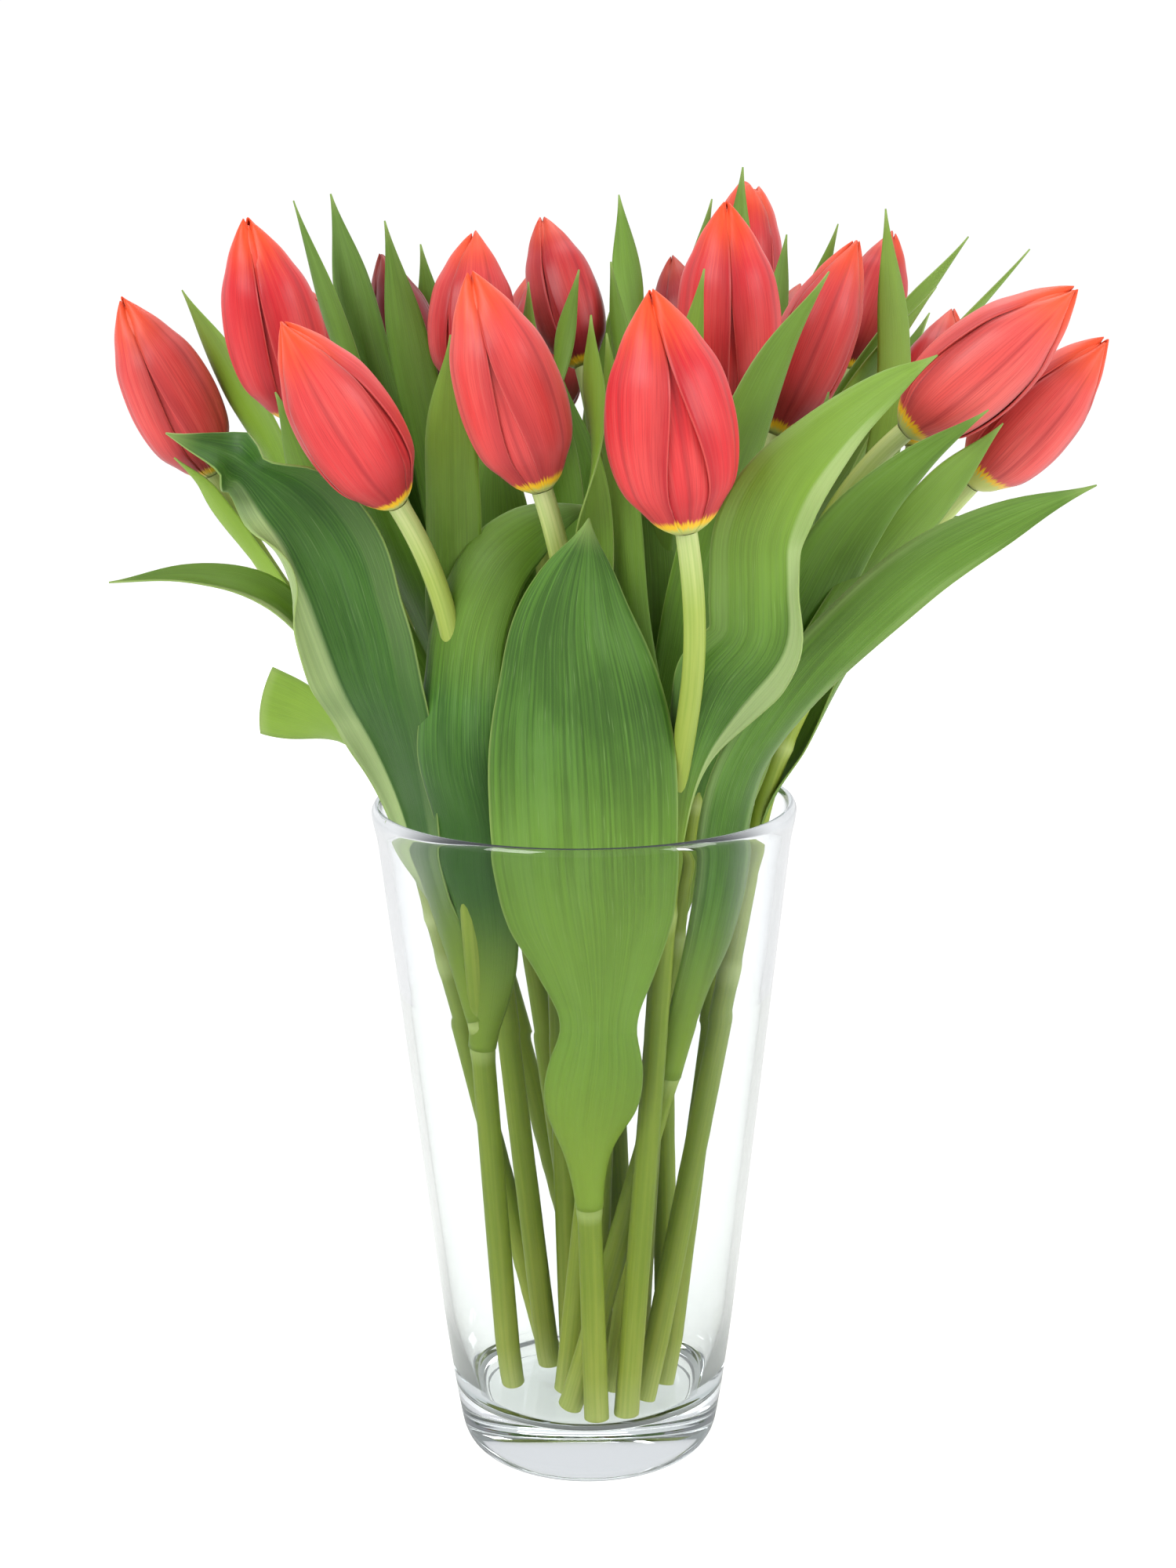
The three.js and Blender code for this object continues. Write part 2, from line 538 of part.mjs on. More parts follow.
function waterSolid(stems) {
  const inside = [38, waterHeight].map((height) => [outsideRadius(height) - wall - gap, height]);
  const corner = innerCorner.map(([radius, height]) => [radius - gap, height + gap]).reverse();
  const top = inside.at(-1)[1];
  let water = toSolid(lathe([[0, floorHeight + gap], ...corner, ...inside, [0, top]]));
  tulips.forEach((tulip, index) => {
    water = water.subtract(toSolid(stemGeometry(stems[index], gap)));
    for (const leaf of tulip.leaves) {
      if (leaf.root < waterHeight) water = water.subtract(toSolid(leafGeometry(leaf, stems[index], gap)));
    }
  });
  return largestBody(water);
}

function finish(colour, roughness, extra = {}) {
  return new THREE.MeshStandardMaterial({ color: colour, roughness, metalness: 0, ...extra });
}

const materials = {
  glass: finish(colours.glass, 0.05, { transparent: true, opacity: 0.35 }),
  water: finish(colours.water, 0.05, { transparent: true, opacity: 0.25 }),
  petal: finish(colours.petal, 0.45),
  stemAndLeaf: finish(colours.stemAndLeaf, 0.5),
};

const bouquet = new THREE.Group();

function addPiece(name, geometry, material) {
  const mesh = new THREE.Mesh(geometry, material);
  mesh.name = name;
  bouquet.add(mesh);
}

const stems = tulips.map(stemCurve);
addPiece("vase", vaseGeometry(), materials.glass);
addPiece("water", toGeometry(waterSolid(stems)), materials.water);
tulips.forEach((tulip, index) => {
  const number = String(index + 1).padStart(2, "0");
  let leafyStem = toSolid(stemGeometry(stems[index]));
  for (const leaf of tulip.leaves) leafyStem = leafyStem.add(toSolid(leafGeometry(leaf, stems[index])));
  addPiece(`leafy_stem_${number}`, toGeometry(largestBody(leafyStem)), materials.stemAndLeaf);
  addPiece(`bloom_${number}`, bloomGeometry(tulip), materials.petal);
});

export default bouquet;
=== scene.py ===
import math

import bpy
from mathutils import Matrix, Vector


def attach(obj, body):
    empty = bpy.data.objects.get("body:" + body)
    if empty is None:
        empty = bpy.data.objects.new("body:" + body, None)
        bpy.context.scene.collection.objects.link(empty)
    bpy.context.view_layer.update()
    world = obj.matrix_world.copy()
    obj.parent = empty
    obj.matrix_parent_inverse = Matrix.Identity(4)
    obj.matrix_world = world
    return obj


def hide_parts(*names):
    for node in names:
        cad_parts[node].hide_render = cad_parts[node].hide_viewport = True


# Red tulips in a tall glass vase. Sizes in the tables are millimetres, as in the CAD model,
# and every mesh is made in metres. The origin is the middle of the vase's underside.
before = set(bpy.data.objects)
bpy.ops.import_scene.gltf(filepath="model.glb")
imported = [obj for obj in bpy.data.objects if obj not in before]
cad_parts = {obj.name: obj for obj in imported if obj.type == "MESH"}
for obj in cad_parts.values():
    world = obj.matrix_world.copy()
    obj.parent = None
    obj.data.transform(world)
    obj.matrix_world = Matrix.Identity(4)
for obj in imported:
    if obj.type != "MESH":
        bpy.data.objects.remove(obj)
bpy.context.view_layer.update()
scene = bpy.context.scene
mm = 0.001


class Wire:
    # one output of a node; sums and products of wires add Math and Vector Math nodes
    def __init__(self, graph, socket):
        self.graph = graph
        self.socket = socket

    def __getitem__(self, name):
        return Wire(self.graph, self.socket.node.outputs[name])

    def __add__(self, other):
        return calc("ADD", self, other)

    def __radd__(self, other):
        return calc("ADD", other, self)

    def __sub__(self, other):
        return calc("SUBTRACT", self, other)

    def __rsub__(self, other):
        return calc("SUBTRACT", other, self)

    def __mul__(self, other):
        return calc("MULTIPLY", self, other)

    def __truediv__(self, other):
        return calc("DIVIDE", self, other)

    def __pow__(self, power):
        return calc("POWER", self, power)

    def __abs__(self):
        return calc("ABSOLUTE", self)


def isVector(term):
    return isinstance(term, tuple) or isinstance(term, Wire) and term.socket.type == "VECTOR"


def calc(operation, *terms):
    graph = next(term.graph for term in terms if isinstance(term, Wire))
    vectors = [isVector(term) for term in terms]
    if not any(vectors):
        return graph.add("ShaderNodeMath", {"operation": operation}, dict(enumerate(terms)))
    settings, values = {"operation": operation}, dict(enumerate(terms))
    if operation == "MULTIPLY" and not all(vectors):
        vector, number = sorted(terms, key=isVector, reverse=True)
        settings, values = {"operation": "SCALE"}, {0: vector, "Scale": number}
    return graph.add("ShaderNodeVectorMath", settings, values)


class Graph:
    # one node tree, with one way to add any node
    def __init__(self, tree):
        self.tree = tree

    def add(self, kind, settings=None, values=None):
        node = self.tree.nodes.new(kind)
        for name, value in (settings or {}).items():
            if name == "stops":
                setStops(node, value)
            else:
                setattr(node, name, value)
        for name, value in (values or {}).items():
            if isinstance(value, Wire):
                self.tree.links.new(value.socket, node.inputs[name])
            else:
                node.inputs[name].default_value = value
        return Wire(self, next((output for output in node.outputs if output.enabled), None))

    def step(self, value, start, end):
        # 0 before start, 1 after end, smooth between them
        return self.add("ShaderNodeMapRange", {"interpolation_type": "SMOOTHSTEP"},
                        {"Value": value, "From Min": start, "From Max": end})

    def mark(self, value, band):
        # a share that grows from one value to the next, or shrinks where the first is greater
        start, end, share = band
        grown = self.step(value, start, end) if start < end else 1 - self.step(value, end, start)
        return grown * share

    def vector(self, x, y, z):
        return self.add("ShaderNodeCombineXYZ", None, {"X": x, "Y": y, "Z": z})

    def noise(self, place, detail):
        return self.add("ShaderNodeTexNoise", {"noise_dimensions": "4D"},
                        {"Vector": place, "W": 0.0, "Scale": 1.0, "Detail": detail})


def setStops(node, stops):
    # the points of a curve, or the colours of a ramp
    if node.bl_idname == "ShaderNodeFloatCurve":
        points = node.mapping.curves[0].points
        for place, value in stops[1:-1]:
            points.new(place, value)
        points[0].location = stops[0]
        points[-1].location = stops[-1]
        node.mapping.update()
        return
    elements = node.color_ramp.elements
    elements.remove(elements[1])
    elements[0].position = stops[0][0]
    elements[0].color = (*stops[0][1], 1)
    for place, colour in stops[1:]:
        elements.new(place).color = (*colour, 1)


def newShape(name, inputs):
    tree = bpy.data.node_groups.new(name, "GeometryNodeTree")
    tree.interface.new_socket("Geometry", in_out="INPUT", socket_type="NodeSocketGeometry")
    for label, kind in inputs.items():
        tree.interface.new_socket(label, in_out="INPUT", socket_type="NodeSocket" + kind)
    tree.interface.new_socket("Geometry", in_out="OUTPUT", socket_type="NodeSocketGeometry")
    graph = Graph(tree)
    entry = tree.nodes.new("NodeGroupInput")
    return graph, {socket.name: Wire(graph, socket) for socket in entry.outputs if socket.name}


def closeShape(graph, geometry, material):
    whole = graph.add("GeometryNodeRealizeInstances", None, {"Geometry": geometry})
    dressed = graph.add("GeometryNodeSetMaterial", None, {"Geometry": whole, "Material": material})
    final = graph.tree.nodes.new("NodeGroupOutput")
    graph.tree.links.new(dressed.socket, final.inputs[0])
    return graph.tree


def store(graph, geometry, name, value, kind="FLOAT", domain="POINT"):
    return graph.add("GeometryNodeStoreNamedAttribute", {"data_type": kind, "domain": domain},
                     {"Geometry": geometry, "Name": name, "Value": value})


def stored(graph, name, kind="FLOAT"):
    return graph.add("GeometryNodeInputNamedAttribute", {"data_type": kind}, {"Name": name})


def gridSheet(graph, given):
    # a flat sheet, and each point's place from edge to edge (-1 to 1) and share from root to tip
    grid = graph.add("GeometryNodeMeshGrid", None, {
        "Size X": 2.0, "Size Y": 1.0, "Vertices X": given["Columns"], "Vertices Y": given["Rows"],
    })
    sheet = store(graph, grid, "UVMap", grid["UV Map"], "FLOAT2", "CORNER")
    spot = graph.add("ShaderNodeSeparateXYZ", None, {0: graph.add("GeometryNodeInputPosition")})
    return sheet, spot["X"], spot["Y"] + 0.5


def grow(tree, source, values, thickness=None):
    # runs a tree on a mesh and returns the plain mesh that it makes
    obj = bpy.data.objects.new("shape", source)
    scene.collection.objects.link(obj)
    modifier = obj.modifiers.new("shape", "NODES")
    modifier.node_group = tree
    kinds = {"NodeSocketFloat": float, "NodeSocketInt": int}
    for item in tree.interface.items_tree:
        if item.in_out == "INPUT" and item.name in values:
            kind = kinds.get(item.socket_type)
            value = values[item.name]
            modifier[item.identifier] = kind(value) if kind else value
    if thickness:
        skin = obj.modifiers.new("thickness", "SOLIDIFY")
        skin.thickness = thickness
        skin.offset = 0
    view = bpy.context.evaluated_depsgraph_get()
    view.update()
    shaped = bpy.data.meshes.new_from_object(obj.evaluated_get(view))
    bpy.data.objects.remove(obj)
    return shaped


def newMaterial(name, look):
    material = bpy.data.materials.new(name)
    material.use_nodes = True
    graph = Graph(material.node_tree)
    shader = material.node_tree.nodes["Principled BSDF"]
    for socket, value in look.items():
        shader.inputs[socket].default_value = value
    return material, graph, shader


def mixColour(graph, factor, first, second, blend="MIX"):
    terms = {0: factor, 6: first, 7: second}
    colours = {key: (*value, 1) if isinstance(value, tuple) else value for key, value in terms.items()}
    return graph.add("ShaderNodeMix", {"data_type": "RGBA", "blend_type": blend}, colours)


def layered(graph, colour, layers):
    # colours laid over each other, each with the share of it that shows
    for share, over in layers:
        colour = mixColour(graph, share, colour, over)
    return colour


def feed(graph, shader, values):
    for name, value in values.items():
        graph.tree.links.new(value.socket, shader.inputs[name])


def bump(graph, height, marks):
    return graph.add("ShaderNodeBump", None, {
        "Height": height, "Strength": marks["bumpStrength"], "Distance": marks["bumpHeight"] * mm,
    })


def shadeAttribute(graph, name):
    return graph.add("ShaderNodeAttribute", {"attribute_name": name})["Fac"]


def splitUv(graph):
    uv = graph.add("ShaderNodeUVMap", {"uv_map": "UVMap"})
    parts = graph.add("ShaderNodeSeparateXYZ", None, {0: uv})
    return parts["X"], parts["Y"]


def blend(first, second, share):
    # a share of the first and the rest of the second
    return first * share + second * (1 - share)


def grain(graph, spot, marks):
    # noise with so many features across and along a sheet, unlike on every other sheet
    *counts, detail = marks
    return graph.noise(graph.vector(*(part * count for part, count in zip(spot, counts))), detail)


petalLook = {
    "Roughness": 0.4, "Specular IOR Level": 0.4, "Subsurface Weight": 0.1,
    "Subsurface Radius": (1.0, 0.25, 0.15), "Subsurface Scale": 0.001, "Sheen Weight": 0.1,
    "Sheen Roughness": 0.35,
}
petalColours = {
    # the dark red colours the fine fibres, and is painted shade in each petal's crease and along its
    # sides
    "red": (0.66, 0.018, 0.026), "rose": (0.80, 0.125, 0.105), "shade": (0.26, 0.005, 0.014),
    "orange": (0.88, 0.085, 0.008), "yellow": (0.78, 0.46, 0.010), "green": (0.46, 0.50, 0.12),
    # the darkest red paints shade on blooms further back, and darkens each petal's base
    "dusk": (0.085, 0.005, 0.012),
}
petalMarks = {
    "streaks": (26, 1.2, 7.3, 4.0), "fine": (130, 5.0, 3.1, 2.0), "patches": (1.6, 1.8, 5.7, 2.0),
    # from where to where each colour comes in, and how strong it gets
    "pale": (0.40, 0.66, 0.45), "threads": (0.4, 0.75, 0.35), "midrib": (0.1, 0.0, 0.35),
    "sides": (0.5, 1.0, 0.4), "edge": (0.965, 1.0, 0.5), "tip": (0.80, 1.10, 0.8),
    "low": (0.5, 0.08, 0.5), "dusk": (0.0, 1.1, 1.0), "yellow": (0.062, 0.035, 1.0),
    "green": (0.03, 0.0, 1.0),
    # how much of the pale colour and the bump follows the streaks, and how ragged a border is
    "paleStreaks": 0.4, "bumpStreaks": 0.5, "lowRagged": 0.2, "tipRagged": 0.2, "goldRagged": 0.06,
    "goldReach": 0.1,
    "roughness": 0.34, "streakRoughness": 0.14, "bumpStrength": 0.25, "bumpHeight": 0.25,
}


def makePetalMaterial():
    colours, marks = petalColours, petalMarks
    material, graph, shader = newMaterial("petal", petalLook)
    across, along = splitUv(graph)
    side = abs(across * 2 - 1)
    dusk = shadeAttribute(graph, "dusk")
    gold = shadeAttribute(graph, "gold")
    blush = shadeAttribute(graph, "blush")
    spot = across, along, shadeAttribute(graph, "petal")
    streaks, fine, patches = [grain(graph, spot, marks[name]) for name in ("streaks", "fine", "patches")]
    # darker towards each petal's base, and all over by the bloom's painted shade, which is greatest on
    # blooms further back
    low = graph.mark(along + patches * marks["lowRagged"], marks["low"]) + dusk
    reach = gold * marks["goldReach"]
    ragged = along + (streaks - 0.5) * (marks["goldRagged"] + reach) - reach
    colour = layered(graph, colours["red"], [
        # paler rose at random, and all over each pale bloom: partly the bloom's own paler tone and partly
        # painted light
        (graph.mark(blend(streaks, patches, marks["paleStreaks"]), marks["pale"]) + blush,
         colours["rose"]),
        (graph.mark(fine, marks["threads"]), colours["shade"]),
        # painted shade: a dark line along each petal's middle crease
        (graph.mark(side, marks["midrib"]), colours["shade"]),
        # painted shade: each petal darker towards its sides, where it meets the next petal
        (graph.mark(side, marks["sides"]), colours["shade"]),
        (graph.mark(side, marks["edge"]), colours["rose"]),
        (graph.mark(along + streaks * marks["tipRagged"], marks["tip"]), colours["orange"]),
        (graph.mark(low, marks["dusk"]), colours["dusk"]),
        (graph.mark(ragged, marks["yellow"]), colours["yellow"]),
        (graph.mark(ragged, marks["green"]), colours["green"]),
    ])
    feed(graph, shader, {
        "Base Color": colour,
        "Roughness": marks["roughness"] + streaks * marks["streakRoughness"],
        "Normal": bump(graph, blend(streaks, fine, marks["bumpStreaks"]), marks),
    })
    return material


leafLook = {
    "Roughness": 0.45, "Specular IOR Level": 0.45, "Subsurface Weight": 0.08,
    "Subsurface Radius": (0.35, 1.0, 0.15), "Subsurface Scale": 0.001,
}
leafColours = {
    "deep": (0.030, 0.105, 0.010), "mid": (0.075, 0.215, 0.018), "light": (0.235, 0.390, 0.030),
    "bloom": (0.105, 0.230, 0.060), "edge": (0.300, 0.420, 0.110), "sheath": (0.250, 0.360, 0.022),
    "dash": (0.200, 0.330, 0.110), "under": (0.400, 0.520, 0.210),
}
leafMarks = {
    "veins": (64, 2.6, 9.1, 3.0), "fine": (190, 8.0, 4.3, 2.0), "patches": (2.0, 4.5, 6.7, 3.0),
    "wax": (12, 5.0, 3.9, 4.0), "dashes": (95, 16.0, 2.3, 1.0),
    # from where to where each colour comes in, and how strong it gets
    "mid": (0.4, 0.62, 1.0), "bloom": (0.46, 0.7, 0.5), "threads": (0.5, 0.85, 0.3),
    "dash": (0.62, 0.74, 0.45), "sheath": (0.3, 0.02, 0.7), "edge": (0.965, 1.0, 0.6),
    "tip": (0.95, 1.0, 0.6),
    # how much of each follows the veins, the patches or the wax
    "midVeins": 0.6, "bloomWax": 0.5, "bumpVeins": 0.6, "glow": 0.55, "glowPatches": 0.4,
    "glowVeins": 0.35, "fold": 0.5, "foldVeins": 0.5,
    "roughness": 0.38, "waxRoughness": 0.2, "bumpStrength": 0.4, "bumpHeight": 0.4,
}


def makeLeafMaterial():
    colours, marks = leafColours, leafMarks
    material, graph, shader = newMaterial("leaf", leafLook)
    across, along = splitUv(graph)
    side = abs(across * 2 - 1)
    glow = shadeAttribute(graph, "glow")
    fold = shadeAttribute(graph, "fold")
    spot = across, along, shadeAttribute(graph, "seed")
    veins, fine, patches, wax, dashes = [
        grain(graph, spot, marks[name]) for name in ("veins", "fine", "patches", "wax", "dashes")]
    # painted light and shade, partly the leaf's own tone: a leaf set light is painted towards the light
    # green, and one set below 0 is painted darker towards the deep green
    lit = glow * (marks["glow"] + patches * marks["glowPatches"] + veins * marks["glowVeins"])
    colour = layered(graph, colours["deep"], [
        (graph.mark(blend(veins, patches, marks["midVeins"]), marks["mid"]), colours["mid"]),
        (graph.mark(blend(wax, patches, marks["bloomWax"]), marks["bloom"]), colours["bloom"]),
        (graph.mark(fine, marks["threads"]), colours["deep"]),
        (graph.mark(dashes, marks["dash"]), colours["dash"]),
        (lit, colours["light"]),
        (glow * -1.0, colours["deep"]),
        (fold * (marks["fold"] + veins * marks["foldVeins"]), colours["under"]),
        (graph.mark(along, marks["sheath"]), colours["sheath"]),
        (graph.mark(side, marks["edge"]), colours["edge"]),
        (graph.mark(along, marks["tip"]), colours["edge"]),
    ])
    feed(graph, shader, {
        "Base Color": colour,
        "Roughness": marks["roughness"] + wax * marks["waxRoughness"],
        "Normal": bump(graph, blend(veins, fine, marks["bumpVeins"]), marks),
    })
    return material


stemLook = {
    "Roughness": 0.42, "Specular IOR Level": 0.4, "Subsurface Weight": 0.1,
    "Subsurface Radius": (0.6, 1.0, 0.2), "Subsurface Scale": 0.001,
}
stemColours = {
    "rise": [  # from the foot to the bloom
        (0.0, (0.46, 0.50, 0.14)), (0.06, (0.33, 0.38, 0.050)), (0.16, (0.270, 0.335, 0.030)),
        (0.4, (0.240, 0.315, 0.028)), (0.7, (0.29, 0.37, 0.045)), (0.93, (0.40, 0.48, 0.10)),
        (1.0, (0.54, 0.60, 0.26)),
    ],
    "joint": (0.50, 0.60, 0.22), "darker": (0.74, 0.84, 0.66),
}
stemMarks = {
    "length": 5.0, "streaks": (5.0, 1.0, 4.0), "patches": (0.8, 1.6, 2.0),
    "pale": (0.38, 0.66, 1.0), "paleStreaks": 0.6, "joint": 0.6, "roughness": 0.36,
    "streakRoughness": 0.2, "bumpStrength": 0.1, "bumpHeight": 0.3,
}


def makeStemMaterial():
    colours, marks = stemColours, stemMarks
    material, graph, shader = newMaterial("stem", stemLook)
    rise = shadeAttribute(graph, "rise")
    joint = shadeAttribute(graph, "joint")
    ring = graph.add("ShaderNodeAttribute", {"attribute_name": "ring"})["Vector"]
    turned = calc("MULTIPLY", ring, (1, 1, 0))
    lengthways = graph.vector(0.0, 0.0, rise * marks["length"])
    streaks, patches = [graph.noise(turned * around + lengthways * along, detail)
                        for around, along, detail in (marks["streaks"], marks["patches"])]
    base = graph.add("ShaderNodeValToRGB", {"stops": colours["rise"]}, {"Fac": rise})
    colour = layered(graph, mixColour(graph, 1.0, base, colours["darker"], "MULTIPLY"), [
        (graph.mark(blend(streaks, patches, marks["paleStreaks"]), marks["pale"]), base),
        (joint * marks["joint"], colours["joint"]),
    ])
    feed(graph, shader, {
        "Base Color": colour,
        "Roughness": marks["roughness"] + streaks * marks["streakRoughness"],
        "Normal": bump(graph, streaks, marks),
    })
    return material


# what lamps show through is the tint; the trap is how often light is mirrored inside thick glass
# before it comes out as the trap's tint, not black; the depth's tint grows with the thickness
glassFinish = {
    "look": {
        "Base Color": (0.91, 0.925, 0.935, 1), "Roughness": 0.0, "IOR": 1.5,
        "Transmission Weight": 1.0,
    },
    "tint": (0.97, 0.98, 0.985, 1), "trap": 2.5, "trapTint": (0.9, 0.92, 0.935, 1),
    "depth": 4.0, "depthTint": (0.36, 0.44, 0.52, 1),
}
waterFinish = {
    "look": {
        "Base Color": (0.985, 0.995, 0.960, 1), "Roughness": 0.0, "IOR": 1.012,
        "Transmission Weight": 1.0,
    },
    "tint": (0.98, 0.99, 0.985, 1),
}


def makeClearMaterial(name, finish):
    # clear to the eye, and lets lamps through, so that what stands in it is lit
    material, graph, shader = newMaterial(name, finish["look"])
    rays = graph.add("ShaderNodeLightPath")
    clear = Wire(graph, shader.outputs[0])
    if "trap" in finish:
        freed = graph.add("ShaderNodeBsdfTransparent", None, {"Color": finish["trapTint"]})
        trapped = calc("GREATER_THAN", rays["Glossy Depth"], finish["trap"])
        clear = graph.add("ShaderNodeMixShader", None, {"Fac": trapped, 1: clear, 2: freed})
    passed = graph.add("ShaderNodeBsdfTransparent", None, {"Color": finish["tint"]})
    unseen = calc("MAXIMUM", rays["Is Shadow Ray"], rays["Is Diffuse Ray"])
    through = graph.add("ShaderNodeMixShader", None, {"Fac": unseen, 1: clear, 2: passed})
    output = graph.tree.nodes["Material Output"]
    graph.tree.links.new(through.socket, output.inputs["Surface"])
    if "depth" in finish:
        haze = graph.add("ShaderNodeVolumeAbsorption", None, {
            "Color": finish["depthTint"], "Density": finish["depth"],
        })
        graph.tree.links.new(haze.socket, output.inputs["Volume"])
    return material


materials = {
    "petal": makePetalMaterial(), "leaf": makeLeafMaterial(), "stem": makeStemMaterial(),
    "glass": makeClearMaterial("clearGlass", glassFinish),
    "water": makeClearMaterial("water", waterFinish),
}
print("materials made")

# A tulip: the foot and neck of its stem, each as distance from the axis and direction round it, the
# base and tip of its bloom, the bloom's greatest width, its turn, how far it is open, how much
# painted shade darkens it (most on blooms further back), how pale it is (partly its own paler tone
# and partly painted light), the gap between its outer petals, and how far up its yellow base
# reaches (gold).
# A leaf: the height of its root on the stem, the path of its middle line and, from root to tip, its
# half widths, the direction across it, the tilt of that direction, and its cup in radians. A wave
# has a height, a number and a start. How light a green it is at its root and tip, from -1 to 1, is
# partly the leaf's own tone and partly painted light, and painted shade below 0. Roll is how far
# its left and right margins roll over, in radians, and from which share of the half width.
stemSizes = {
    "footHeight": 18.35, "neckHeight": 190, "footRadius": 3.6, "topRadius": 2.8, "bend": 0.36,
    "footLift": 0.9, "joint": 0.5, "jointReach": 2.2, "sides": 20, "rings": 90,
    "straightSteps": 30, "bentSteps": 40,
}
leafSizes = {
    "thickness": 0.5, "sheathCup": 2, "sheathLength": 0.2, "leastCup": 0.01, "gap": 0.35,
    "tipGlow": 0.22, "rings": 64,
    # a blade with a greater half width than this takes the second of each pair
    "broad": 12, "rows": (60, 90), "columns": (13, 21), "edgeWave": (1.4, 2.4),
}
leafDefaults = {"glow": 0.25, "roll": (0, 0, 0.7), "cup": [0.6], "wave": (0.8, 2, 0), "tilt": [0]}
tulipDefaults = {"dusk": 0, "blush": 0, "gap": 0, "gold": 0}
bladeTip = 0.12


def clasping(half):
    return [7.4, 0.75 * half, 0.95 * half, half, 0.85 * half, 0.55 * half, bladeTip]


def slender(half):
    return [3, 0.75 * half, 0.95 * half, half, 0.97 * half, 0.78 * half, bladeTip]


